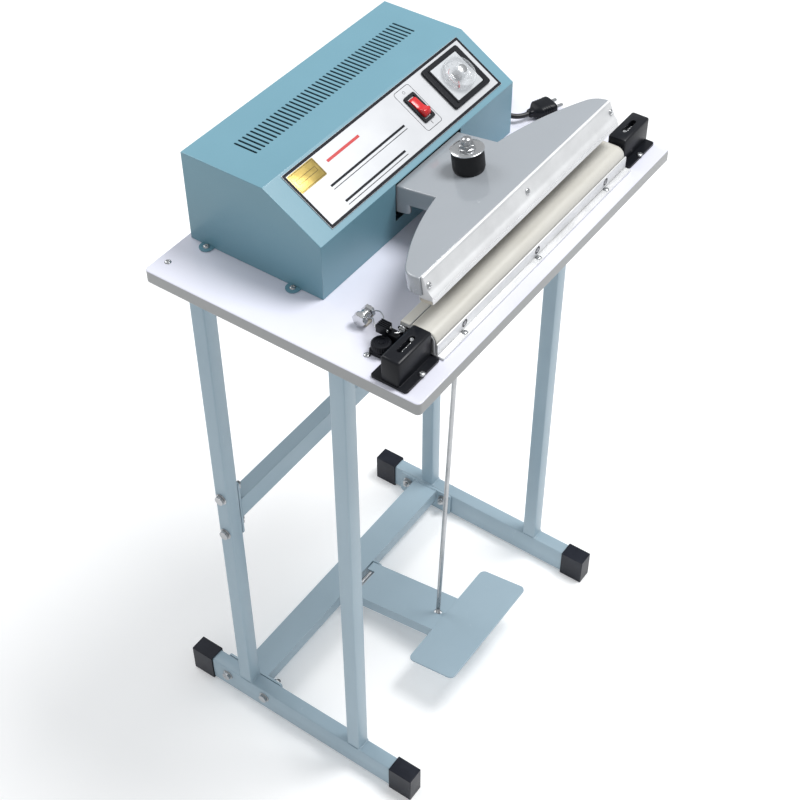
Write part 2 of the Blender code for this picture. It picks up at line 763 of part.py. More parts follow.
def build_case(mats):
    paint = mats["case_paint"]
    cover = prism("case_cover", [case_profile(0)], along("X", case_left), case_length, paint)
    hollow = prism(
        "cut_case_hollow", [case_profile(sheet)], along("X", case_left + sheet),
        case_length - 2 * sheet, paint,
    )
    neck_half = neck_width / 2 + mouth_room
    front_low = case_floor + mouth_rise
    front_high = case_floor + case_front_height - 0.0018
    mouth = block(
        "cut_case_mouth", (mech_x - neck_half, case_front - 0.01, front_low),
        (mech_x + neck_half, case_front + 0.01, front_high), paint,
    )
    first = vent_middle_x - vent_pitch * (vent_count - 1) / 2
    vent_y = case_back - vent_back_inset
    slots = []
    for i in range(vent_count):
        slot = stadium(0, 0, vent_length, vent_width, 3)
        slots.append([(first + i * vent_pitch - v, vent_y + u) for u, v in slot])
    vents = prism("cut_case_vents", slots, along("Z", case_floor + case_height - 0.01), 0.02, paint)
    switch_hole = prism(
        "cut_case_switch",
        [box_outline(-switch_width / 2 + 0.0014, -switch_length / 2 + 0.0020,
                     switch_width / 2 - 0.0014, switch_length / 2 - 0.0020)],
        slope_place(switch_x, slope_middle, -0.01), 0.02, paint,
    )
    timer_hole = rod(
        "cut_case_timer", shaft_hole_radius, slope_place(timer_x, slope_middle, -0.01), 0.02, paint
    )
    relief_hole = rod(
        "cut_case_relief", relief_radius * 0.7 + gap, along("X", case_right - 0.01), 0.02, paint
    )
    relief_hole.location = (0, relief_y, relief_z)
    ears = []
    holes = []
    for side_name, x, wall in (("left", case_left - 0.0035, 1), ("right", case_right + 0.0035, -1)):
        for i in range(2):
            y = case_front + ear_front_inset + ear_spacing * i
            turn = math.pi / 2 if wall > 0 else -math.pi / 2
            rim = arc(x, y, ear_radius, turn, turn + math.pi, 8)
            root = x + wall * (0.0035 + sheet / 2)
            outline = [*rim, (root, rim[-1][1]), (root, rim[0][1])]
            place = along("Z", case_floor)
            ears.append(prism(f"join_ear_{side_name}_{i}", [outline], place, sheet, paint))
            drill = along("Z", case_floor - 0.01)
            holes.append(rod(f"cut_ear_{side_name}_{i}", ear_hole_radius, drill, 0.02, paint))
            holes[-1].location = (x, y, 0)
    combine(cover, [hollow, mouth, vents, switch_hole, timer_hole, relief_hole], "DIFFERENCE")
    combine(cover, ears, "UNION")
    combine(cover, holes, "DIFFERENCE")
    inner = sheet + gap
    block(
        "case_base", (case_left + inner, case_front + inner, case_floor),
        (case_right - inner, case_back - inner, case_floor + sheet), paint,
    )


def build_controls(mats):
    """The nameplate, rocker switch and timer on the sloped face."""
    half_x = plate_length / 2
    half_v = plate_height / 2
    shift = slope_middle - plate_middle
    hole_half_x = switch_width / 2 - 0.0010
    hole_half_v = switch_length / 2 - 0.0016
    switch_u = switch_x - plate_middle_x
    prism(
        "nameplate",
        [
            round_box(-half_x, -half_v, half_x, half_v, plate_corner),
            box_outline(
                switch_u - hole_half_x, shift - hole_half_v, switch_u + hole_half_x, shift + hole_half_v
            ),
            circle(timer_x - plate_middle_x, shift, shaft_hole_radius + 0.001),
        ],
        slope_place(plate_middle_x, plate_middle, plate_lift), panel_thickness, mats["plate_white"],
    )
    black = mats["black_plastic"]
    rim = switch_rim
    half_x = switch_width / 2
    half_v = switch_length / 2
    bezel = prism(
        "switch_bezel", [round_box(-half_x, -half_v, half_x, half_v, 0.002)],
        slope_place(switch_x, slope_middle, bezel_lift), rim, black,
    )
    body_x = half_x - 0.0018
    body_v = half_v - 0.0024
    body = prism(
        "join_switch_body", [box_outline(-body_x, -body_v, body_x, body_v)],
        slope_place(switch_x, slope_middle, bezel_lift - switch_depth), switch_depth + rim / 2, black,
    )
    pocket_x = body_x - 0.0012
    pocket_v = body_v - 0.0012
    pocket = prism(
        "cut_switch_pocket", [box_outline(-pocket_x, -pocket_v, pocket_x, pocket_v)],
        slope_place(switch_x, slope_middle, bezel_lift - 0.0060), 0.02, black,
    )
    combine(bezel, [body], "UNION")
    combine(bezel, [pocket], "DIFFERENCE")
    rocker_v = pocket_v - 0.0010
    rocker_x = pocket_x - 0.0005
    high = 0.0040
    shape = [
        (-rocker_v, 0.0008), (0, -0.0036), (rocker_v, 0.0008), (rocker_v, high),
        (0, high - 0.0018), (-rocker_v, high),
    ]
    place = slope_place(switch_x, slope_middle, rocker_lift)
    rock = Matrix.Rotation(-rocker_angle, 4, "X")
    across = Matrix.Translation((-rocker_x, 0, 0)) @ along("X", 0)
    prism("switch_rocker", [shape], place @ rock @ across, 2 * rocker_x, mats["red_plastic"])
    half_x = timer_width / 2
    half_v = timer_length / 2
    prism(
        "timer_plate",
        [round_box(-half_x, -half_v, half_x, half_v, 0.003), circle(0, 0, shaft_hole_radius)],
        slope_place(timer_x, slope_middle, bezel_lift), timer_thickness, black,
    )
    dial_lift = bezel_lift + timer_thickness + gap
    dial_half_x = half_x - dial_side_inset
    dial_half_v = half_v - dial_end_inset
    prism(
        "timer_dial",
        [
            round_box(-dial_half_x, -dial_half_v, dial_half_x, dial_half_v, plate_corner),
            circle(0, 0, shaft_hole_radius),
        ],
        slope_place(timer_x, slope_middle, dial_lift), panel_thickness, mats["aluminium"],
    )
    knob_foot = dial_lift + panel_thickness + play
    shaft_end = -sheet - 0.008
    shaft = shaft_hole_radius - play
    turned(
        "timer_knob",
        [
            (0, shaft_end), (shaft, shaft_end), (shaft, knob_foot), (knob_radius, knob_foot),
            (knob_radius, knob_foot + 0.002), (knob_radius * 0.86, knob_foot + 0.003),
            (knob_radius * 0.82, knob_foot + knob_height - 0.001),
            (knob_radius * 0.76, knob_foot + knob_height), (0, knob_foot + knob_height),
        ],
        slope_place(timer_x, slope_middle, 0), mats["clear_plastic"],
    )


def build_insides(mats):
    """What the case holds: transformer, timer board, microswitch, pivot and return spring."""
    left = case_left + 0.022
    width = 0.076
    height = 0.064
    core_depth = 0.036
    low = base_top
    window = 0.013
    limb = 0.012
    core = [box_outline(left, low, left + width, low + height)]
    for u in (left + limb, left + width - limb - window):
        core.append(box_outline(u, low + limb, u + window, low + height - limb))
    middle_y = (case_front + case_back) / 2 + 0.030
    core_place = along("Y", middle_y + core_depth / 2)
    prism("transformer_core", core, core_place, core_depth, mats["laminations"])
    u0 = left + limb + window + gap
    u1 = left + width - limb - window - gap
    wrap = window - 0.002
    y0 = middle_y - core_depth / 2
    y1 = middle_y + core_depth / 2
    coil = round_box(u0 - wrap, y0 - wrap, u1 + wrap, y1 + wrap, 0.004)
    limb_hole = box_outline(u0 - gap * 2, y0 - gap, u1 + gap * 2, y1 + gap)
    coil_low = low + limb + gap
    prism(
        "transformer_coil", [coil, limb_hole], along("Z", coil_low), height - 2 * limb - 2 * gap,
        mats["winding"],
    )
    board_lift = -sheet - 0.018
    board = prism(
        "timer_board", [box_outline(-0.034, -0.022, 0.034, 0.022)],
        slope_place(timer_x, slope_middle, board_lift), 0.0016, mats["circuit_board"],
    )
    pot_top = -sheet - gap
    pot = turned(
        "join_timer_pot",
        [
            (0, board_lift + 0.0008), (0.008, board_lift + 0.0008), (0.008, pot_top),
            (shaft_hole_radius, pot_top), (shaft_hole_radius, -sheet - 0.009), (0, -sheet - 0.009),
        ],
        slope_place(timer_x, slope_middle, 0), mats["circuit_board"], small_sides,
    )
    combine(board, [pot], "UNION")
    switch_side = mech_x + neck_width / 2 + 0.016
    block(
        "microswitch", (switch_side, pivot_y - 0.050, base_top),
        (switch_side + 0.011, pivot_y - 0.022, base_top + 0.016), mats["black_plastic"], 0.001, 1,
    )
    ear_half = neck_width / 2 + play
    for side_name, x in (("left", mech_x - ear_half - ear_gauge), ("right", mech_x + ear_half)):
        shape = [
            (pivot_y + 0.018, base_top), *arc(pivot_y, pivot_z, 0.010, 0.0, math.pi, 8),
            (pivot_y - 0.018, base_top),
        ]
        bracket = prism(
            f"pivot_bracket_{side_name}", [shape, circle(pivot_y, pivot_z, pivot_shaft_radius + gap)],
            along("X", x), ear_gauge, mats["plated_steel"],
        )
        foot_start = x - 0.013 if side_name == "left" else x + ear_gauge - 0.001
        foot = block(
            f"join_pivot_foot_{side_name}", (foot_start, pivot_y - 0.018, base_top),
            (foot_start + 0.014, pivot_y + 0.018, base_top + ear_gauge), mats["plated_steel"],
        )
        combine(bracket, [foot], "UNION")
    reach = ear_half + ear_gauge + 0.002
    shaft_place = Matrix.Translation((0, pivot_y, pivot_z)) @ along("X", mech_x - reach)
    rod("pivot_shaft", pivot_shaft_radius, shaft_place, 2 * reach, mats["plated_steel"])
    spring_y, spring_top = about_pivot(pivot_y + spring_back, arm_top_z - arm_gauge, open_tilt)
    spring_top -= spring_wire + 0.0006
    spring_foot = base_top + spring_wire
    steps = 10
    points = []
    for i in range(spring_turns * steps + 1):
        angle = 2 * math.pi * i / steps
        x = mech_x + spring_radius * math.cos(angle)
        y = spring_y + spring_radius * math.sin(angle)
        points.append((x, y, spring_foot + (spring_top - spring_foot) * i / (spring_turns * steps)))
    tube_along("return_spring", points, spring_wire, mats["spring_steel"], 1)


# ---------------------------------------------------------------- jaw arm
def arm_outline(inset):
    """The arm's plan: straight in front, a great arc behind with rounded ends, and a neck."""
    x = mech_x
    front = front_edge + arm_front_inset + inset
    half = arm_half_width - inset
    radius = arm_arc_radius - inset
    centre_y = front_edge + arm_arc_inset - arm_arc_radius
    corner = arm_end_radius - inset
    corner_x = arm_half_width - arm_end_radius
    corner_y = centre_y + math.sqrt((arm_arc_radius - arm_end_radius) ** 2 - corner_x**2)
    lean = math.atan2(corner_y - centre_y, corner_x)
    neck = neck_width / 2 - inset
    neck_lean = math.acos(neck / radius)
    back = front_edge + neck_back_inset + (0.01 if inset else 0.0)
    right = [
        (half, front),
        *arc(corner_x, corner_y, corner, 0.0, lean, 5),
        *arc(0, centre_y, radius, lean, neck_lean, 9)[1:],
        (neck, back),
    ]
    left = [(-u, v) for u, v in reversed(right)]
    return [(x + u, v) for u, v in right + left]


def build_arm(mats):
    """The arm is modelled level and then tilted open about its pivot."""
    paint = mats["arm_paint"]
    pivot = pivot_at("arm_pivot", (0, pivot_y, pivot_z))
    skirt_low = arm_top_z - arm_skirt
    arm = prism("jaw_arm", [arm_outline(0)], along("Z", skirt_low), arm_skirt, paint)
    inner = prism(
        "cut_arm_inside", [arm_outline(arm_gauge)], along("Z", skirt_low - 0.01),
        arm_skirt - arm_gauge + 0.01, paint,
    )
    low = arm_top_z - neck_depth
    y0 = front_edge + neck_side_inset
    y1 = front_edge + neck_back_inset
    side_shape = [
        (y0, arm_top_z - arm_gauge), (y0, low + 0.008), (y0 + 0.004, low), (y1 - 0.010, low),
        (y1, low + 0.010), (y1, arm_top_z - arm_gauge),
    ]
    hole = circle(pivot_y, pivot_z, pivot_shaft_radius + play)
    outer_side = neck_width / 2 - side_step
    sides = [
        prism(f"join_neck_side_{i}", [side_shape], along("X", x), arm_gauge, paint)
        for i, x in enumerate((mech_x - outer_side, mech_x + outer_side - arm_gauge))
    ]
    shaft_hole = prism("cut_arm_shaft", [hole], along("X", mech_x - neck_width), 2 * neck_width, paint)
    rod_hole = rod("cut_arm_rod", rod_hole_radius, along("Z", arm_top_z - 0.02), 0.04, paint)
    rod_hole.location = (mech_x, rod_hole_y, 0)
    combine(arm, [inner], "DIFFERENCE")
    combine(arm, sides, "UNION")
    combine(arm, [shaft_hole, rod_hole], "DIFFERENCE")

    bar_left = mech_x - upper_bar_length / 2
    back = front_edge + arm_front_inset - gap
    lip_top = table_height + bar_bottom_rise + bar_lip
    bottom = table_height + bar_bottom_rise
    top = arm_top_z + 0.0008
    step = skirt_low - gap
    foot_y = front_edge + bar_front_inset
    crest_y = front_edge + bar_top_inset
    outer = [
        (foot_y + 0.0008, bottom), (foot_y, lip_top), (crest_y, top), (back, top), (back, step),
        (front_edge + bar_back_inset, step), (front_edge + bar_back_inset, bottom),
    ]
    bar_place = along("X", bar_left)
    bar = prism("upper_jaw_bar", [outer], bar_place, upper_bar_length, mats["aluminium"])
    half = strip_width / 2
    section = box_outline(seal_y - half, strip_bottom, seal_y + half, strip_bottom + strip_height)
    strip = prism("silicone_strip", [section], bar_place, upper_bar_length, mats["silicone"])
    spot = Matrix.Translation((mech_x, rod_hole_y, arm_top_z + gap))
    cushion = turned(
        "rubber_cushion",
        [
            (rod_hole_radius, 0), (cushion_radius, 0), (cushion_radius, cushion_height),
            (rod_hole_radius, cushion_height),
        ],
        spot, mats["rubber"],
    )
    washer_lift = Matrix.Translation((0, 0, cushion_height + gap))
    washer = turned(
        "cushion_washer",
        [
            (rod_radius + play, 0), (washer_radius, 0), (washer_radius, washer_thickness),
            (rod_radius + play, washer_thickness),
        ],
        spot @ washer_lift, mats["plated_steel"],
    )
    nut_lift = Matrix.Translation((0, 0, cushion_height + washer_thickness + 2 * gap))
    nut = turned(
        "cushion_nut",
        [(0, 0), (nut_radius, 0), (nut_radius, nut_height), (0, nut_height)],
        spot @ nut_lift, mats["plated_steel"], 6, smooth=False,
    )
    stem_low = -(cushion_height - rod_reach - 0.004)
    stem = turned(
        "join_cushion_stem",
        [
            (0, stem_low), (rod_radius, stem_low), (rod_radius, nut_height + 0.003),
            (rod_radius * 0.6, nut_height + 0.0045), (0, nut_height + 0.005),
        ],
        spot @ nut_lift, mats["plated_steel"], small_sides,
    )
    combine(nut, [stem], "UNION")
    hang_on(pivot, [
        arm, inner, *sides, shaft_hole, rod_hole, bar, strip, cushion, washer, nut, stem,
    ])
    pivot.rotation_euler.x = -open_tilt


# ---------------------------------------------------------------- lower jaw
def jaw_line(offset):
    """The jaw's top from its groove forward and down its rounded front, moved out by offset."""
    front = front_edge + jaw_front_inset - offset
    top = jaw_top_z + offset
    radius = jaw_round + offset
    middle_y = front_edge + jaw_front_inset + jaw_round
    middle_z = jaw_top_z - jaw_round
    corner = arc(middle_y, middle_z, radius, math.pi / 2, math.pi, 5)
    return top, corner, front


def build_lower_jaw(mats):
    start = lower_jaw_x - lower_jaw_length / 2
    low = table_height + gap
    top, corner, front = jaw_line(0)
    groove = front_edge + jaw_groove_inset
    back = front_edge + jaw_back_inset
    rail = table_height + jaw_rail_rise
    depth = jaw_groove_depth
    w = jaw_wall
    outer = [
        (front_edge + jaw_flange_inset, low), (back, low), (back, rail),
        (groove + jaw_groove_width, rail), (groove + jaw_groove_width, top - depth),
        (groove, top - depth), (groove, top), *corner, (front, low + jaw_flange_thickness),
        (front_edge + jaw_flange_inset, low + jaw_flange_thickness),
    ]
    ceiling = top - depth - w
    hollow = box_outline(front + w, low + w, back - w, ceiling)
    prism("lower_jaw", [outer, hollow], along("X", start), lower_jaw_length, mats["aluminium"])
    half = element_width / 2
    prism(
        "heating_element",
        [box_outline(seal_y - half, element_bottom, seal_y + half, element_bottom + element_thickness)],
        along("X", start + 0.002), lower_jaw_length - 0.004, mats["nichrome"],
    )
    cloth_top_line, cloth_corner, cloth_front = jaw_line(cloth_offset)
    tuck = groove + (jaw_groove_width - cloth_thickness) / 2
    inner = [
        (tuck, top - depth + gap), (tuck, cloth_top_line), *cloth_corner,
        (cloth_front, table_height + cloth_front_rise),
    ]
    cloth = [*inner, *reversed(offset_line(inner, -cloth_thickness))]
    prism("ptfe_cloth", [cloth], along("X", start + 0.001), lower_jaw_length - 0.002, mats["ptfe_cloth"])
    clamp_back = cloth_front - cloth_thickness - gap
    prism(
        "cloth_clamp",
        [round_box(
            clamp_back - clamp_thickness, low + clamp_foot, clamp_back, low + clamp_head, 0.0008, 2
        )],
        along("X", start), lower_jaw_length, mats["aluminium"],
    )


def build_brackets(mats):
    """The plastic ends that carry the element's spring clips; the left one has an adjusting knob."""
    black = mats["black_plastic"]
    for side_name, side in (("left", -1), ("right", 1)):
        outer = side * (table_width / 2 - 0.005)
        inner = outer - side * bracket_length
        x0, x1 = sorted((outer, inner))
        y0 = front_edge + bracket_front_inset
        low = table_height + gap
        plan = round_box(x0, y0, x1, y0 + bracket_depth, 0.003)
        bracket = prism(f"end_bracket_{side_name}", [plan], along("Z", low), bracket_flange, black)
        body_y = front_edge + bracket_body_inset
        body = block(
            f"join_bracket_body_{side_name}", (x0 + 0.001, body_y, low + 0.0005),
            (x1 - gap, body_y + bracket_body_depth, low + bracket_height), black, 0.0025, 2,
        )
        slot_y = body_y + bracket_body_depth / 2
        slot = prism(
            f"cut_bracket_slot_{side_name}",
            [stadium((x0 + x1) / 2, slot_y, bracket_slot_length, bracket_slot_width)],
            along("Z", low + bracket_height - bracket_slot_depth), 0.02, black,
        )
        added = [body]
        if side < 0:
            knob_x = x0 + tension_knob_x
            knob_y = y0 + tension_knob_y
            added.append(prism(
                "join_bracket_boss",
                [round_box(knob_x - 0.009, y0 + bracket_depth - 0.002, x1, knob_y + 0.010, 0.003)],
                along("Z", low), boss_height, black,
            ))
            added.append(block(
                "join_bracket_block", (knob_x + 0.0115, y0 + bracket_depth - 0.001, low + 0.0005),
                (x1 - 0.001, knob_y + 0.009, low + block_height), black, 0.0015, 1,
            ))
        combine(bracket, added, "UNION")
        cutters = [slot]
        if side < 0:
            drill = along("Z", low + 0.001)
            bore = rod("cut_bracket_bore", tension_stem_radius + play, drill, 0.02, black)
            bore.location = (knob_x, knob_y, 0)
            cutters.append(bore)
            stem = low + 0.001 + play
            foot = low + boss_height + play
            stem_radius = tension_stem_radius
            head = tension_knob_radius
            high = foot + tension_knob_height
            turned(
                "tension_knob",
                [
                    (0, stem), (stem_radius, stem), (stem_radius, foot), (head, foot),
                    (head, high - 0.001), (head - 0.001, high), (0, high),
                ],
                Matrix.Translation((knob_x, knob_y, 0)), black,
            )
        combine(bracket, cutters, "DIFFERENCE")


def build_terminal(mats):
    """The lead's terminal: a hex bolt through a collar on a pad behind the left bracket."""
    middle = Vector((-0.1845, front_edge + 0.111, table_height + 0.0095))
    place = Matrix.Translation(middle) @ Matrix.Rotation(math.pi / 2, 4, "Y")
    head = 0.0075
    turned(
        "terminal_bolt",
        [
            (0, -0.011), (head, -0.011), (head, -0.006), (0.0055, -0.006), (0.0055, 0.005),
            (head, 0.005), (head, 0.009), (0, 0.009),
        ],
        place, mats["plated_steel"],
    )
    low = table_height + gap
    block(
        "terminal_pad", (middle.x - 0.0055, middle.y - 0.006, low),
        (middle.x + 0.0045, middle.y + 0.006, middle.z - 0.0055 - gap), mats["silicone"],
    )


# ---------------------------------------------------------------- mains lead
def lead_points():
    """Straight out of the relief, then down and round to the hank's back end."""
    start = Vector((case_right + gap + relief_length + gap, relief_y, relief_z))
    table_z = table_height + cord_lift + cord_radius
    drop = start.z - table_z
    corner = start + Vector((lead_straight, -lead_bend, 0))
    bent = []
    for degrees, lowered in ((0, 0.0), (20, 0.16), (45, 0.55), (70, 0.92), (90, 1.0)):
        angle = math.radians(degrees)
        offset = Vector((lead_bend * math.sin(angle), lead_bend * math.cos(angle), 0))
        bent.append(corner + offset - Vector((0, 0, drop * lowered)))
    return [start, *bent, bent[-1] - Vector((0, 0.003, 0))]


def tail_points():
    """Off the hank's top layer at its front, round to the plug and down to its neck."""
    top_z = table_height + gap + hank_height - cord_radius
    plug_z = table_height + cord_lift + plug_thickness / 2
    heading = Vector((math.cos(plug_turn), math.sin(plug_turn), 0))
    end = Vector((plug_x, front_edge + plug_inset, plug_z)) - heading * gap
    bent_end = end - heading * 0.003
    corner = bent_end + Vector((-heading.y, heading.x, 0)) * lead_bend
    last = math.pi * 1.5 + plug_turn
    bent = []
    for part in (0, 0.2, 0.4, 0.6, 0.8, 1.0):
        angle = tail_start + (last - tail_start) * part
        share = (angle - tail_leaves) / (last - tail_leaves)
        offset = Vector((lead_bend * math.cos(angle), lead_bend * math.sin(angle), 0))
        bent.append(Vector((corner.x, corner.y, top_z)) + offset)
        bent[-1].z += (plug_z - top_z) * share**2 * (3 - 2 * share)
    return [*bent, end]


def build_lead(mats):
    cord = mats["cord_pvc"]
    relief_start = case_right - sheet - 0.004
    reach = relief_length + sheet + 0.004 + gap
    wall = sheet + 0.004 + gap
    place = Matrix.Translation((0, relief_y, relief_z)) @ along("X", relief_start)
    thin = relief_radius * 0.7
    turned(
        "strain_relief",
        [
            (0, 0), (thin, 0), (thin, wall), (relief_radius, wall), (relief_radius, wall + 0.004),
            (relief_radius * 0.8, wall + 0.005), (cord_radius + 0.0006, reach), (0, reach),
        ],
        place, mats["rubber"],
    )
    tube_along("cord_lead", smooth_route(lead_points(), 5), cord_radius, cord)
    half = hank_width / 2
    front = front_edge + hank_inset
    outline = [
        *arc(hank_x, front + hank_length - half, half, 0, math.pi, 12),
        *arc(hank_x, front + half, half, math.pi, 2 * math.pi, 12),
    ]
    prism("cord_hank", [outline], along("Z", table_height + gap), hank_height, cord, smooth=True)
    tube_along("cord_tail", smooth_route(tail_points(), 5), cord_radius, cord)
    plug_z = table_height + cord_lift + plug_thickness / 2
    spot = Matrix.Translation((plug_x, front_edge + plug_inset, plug_z))
    place = spot @ Matrix.Rotation(plug_turn, 4, "Z")
    wide = plug_width / 2
    narrow = plug_neck / 2
    outline = [
        (0, -narrow), (plug_length * 0.4, -wide), (plug_length - 0.002, -wide),
        (plug_length, -wide + 0.002), (plug_length, wide - 0.002), (plug_length - 0.002, wide),
        (plug_length * 0.4, wide), (0, narrow),
    ]
    down = Matrix.Translation((0, 0, -plug_thickness / 2))
    plug = prism("plug", [outline], place @ down, plug_thickness, mats["black_plastic"])
    pins = []
    for side in (-1, 1):
        spot = Matrix.Translation((plug_length - 0.004, side * pin_spacing / 2, 0))
        turn = Matrix.Rotation(math.pi / 2, 4, "Y")
        pin = place @ spot @ turn
        pins.append(rod(
            f"join_plug_pin_{side + 1}", pin_radius, pin, pin_length + 0.004, mats["plated_steel"]
        ))
    combine(plug, pins, "UNION")


def build_sealer():
    clear_scene()
    mats = make_materials()
    build_table(mats)
    build_legs(mats)
    build_runners(mats)
    build_cross_pieces(mats)
    build_brace_bolts(mats)
    build_pedal(mats)
    build_pull_rod(mats)
    build_case(mats)
    build_controls(mats)
    build_insides(mats)
    build_arm(mats)
    build_lower_jaw(mats)
    build_brackets(mats)
    build_terminal(mats)
    build_lead(mats)


build_sealer()
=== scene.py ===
import bmesh
import bpy
import json
import math
import numpy as np
from mathutils import Matrix, Vector


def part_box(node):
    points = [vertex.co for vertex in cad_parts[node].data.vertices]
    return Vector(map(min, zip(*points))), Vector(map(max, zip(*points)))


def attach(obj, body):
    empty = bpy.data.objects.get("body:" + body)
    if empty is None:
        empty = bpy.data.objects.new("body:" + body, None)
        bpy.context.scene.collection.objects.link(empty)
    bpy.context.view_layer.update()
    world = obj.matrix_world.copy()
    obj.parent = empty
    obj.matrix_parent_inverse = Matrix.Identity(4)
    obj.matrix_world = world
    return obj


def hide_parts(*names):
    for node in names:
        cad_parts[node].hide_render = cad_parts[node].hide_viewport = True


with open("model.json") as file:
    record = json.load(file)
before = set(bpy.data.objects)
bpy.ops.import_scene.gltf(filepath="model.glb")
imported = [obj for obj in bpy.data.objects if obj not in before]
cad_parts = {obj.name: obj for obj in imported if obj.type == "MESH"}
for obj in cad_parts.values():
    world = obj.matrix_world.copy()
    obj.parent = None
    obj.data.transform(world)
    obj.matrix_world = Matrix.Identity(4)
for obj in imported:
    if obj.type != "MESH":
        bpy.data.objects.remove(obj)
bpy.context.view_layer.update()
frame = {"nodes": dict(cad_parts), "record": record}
nodes = frame["nodes"]
bodyOf = {n: b for b, members in frame["record"]["behaviour"]["bodies"].items() for n in members}
slotOf = {s["node"]: s["material_slot"] for s in frame["record"]["subparts"]}
print("frame loaded:", len(nodes), "parts")

# where the camera stands and how it is turned, in metres
shot = {
    "place": (-1.0732, -0.7574, 1.7758),
    "right": (0.5753, -0.8180, -0.0037),
    "up": (0.5815, 0.4058, 0.7051),
    "back": (-0.5753, -0.4078, 0.7091),
    "lens": 67.89,
}
studio = {
    "floorColour": (0.93, 0.93, 0.93),
    "floorGlow": 0.16,
    "skyColour": (0.95, 0.975, 1.0),
    "skyStrength": 0.52,
    "lamps": {
        "keyLamp": {"place": (0.8, -0.8, 3.2), "aim": (0, 0, 0.6), "size": 1.2, "power": 66},
        "sideLamp": {"place": (-2.4, -0.5, 1.9), "aim": (0, 0, 0.6), "size": 1.4, "power": 4},
        "backLamp": {"place": (0.2, 2.2, 2.7), "aim": (0, 0, 0.75), "size": 1.4, "power": 26},
    },
}


def linkThing(name, data):
    thing = bpy.data.objects.new(name, data)
    bpy.context.scene.collection.objects.link(thing)
    return thing


def makeLamp(name, setting):
    data = bpy.data.lights.new(name, "AREA")
    data.shape = "DISK"
    data.size = setting["size"]
    data.energy = setting["power"]
    aim = Vector(setting["aim"]) - Vector(setting["place"])
    turn = aim.to_track_quat("-Z", "Y").to_matrix().to_4x4()
    linkThing(name, data).matrix_world = Matrix.Translation(setting["place"]) @ turn


def makeStudio():
    scene = bpy.context.scene
    data = bpy.data.cameras.new("camera")
    data.lens = shot["lens"]
    data.sensor_width = 36
    data.clip_start = 0.05
    data.clip_end = 60
    camera = linkThing("camera", data)
    turn = Matrix((shot["right"], shot["up"], shot["back"])).transposed().to_4x4()
    camera.matrix_world = Matrix.Translation(shot["place"]) @ turn
    scene.camera = camera
    scene.view_settings.view_transform = "Standard"
    for name, setting in studio["lamps"].items():
        makeLamp(name, setting)
    world = bpy.data.worlds.new("softSky")
    world.use_nodes = True
    sky = world.node_tree.nodes["Background"]
    sky.inputs["Color"].default_value = (*studio["skyColour"], 1)
    sky.inputs["Strength"].default_value = studio["skyStrength"]
    scene.world = world
    reach = 7.0
    corners = [(-reach, -reach, 0), (reach, -reach, 0), (reach, reach, 0), (-reach, reach, 0)]
    mesh = bpy.data.meshes.new("floor")
    mesh.from_pydata(corners, [], [(0, 1, 2, 3)])
    floor = linkThing("floor", mesh)
    paper = bpy.data.materials.new("floorPaper")
    paper.use_nodes = True
    shader = paper.node_tree.nodes["Principled BSDF"]
    shader.inputs["Base Color"].default_value = (*studio["floorColour"], 1)
    shader.inputs["Roughness"].default_value = 0.9
    shader.inputs["Emission Color"].default_value = (1, 1, 1, 1)
    shader.inputs["Emission Strength"].default_value = studio["floorGlow"]
    mesh.materials.append(paper)


makeStudio()
print("studio ready")


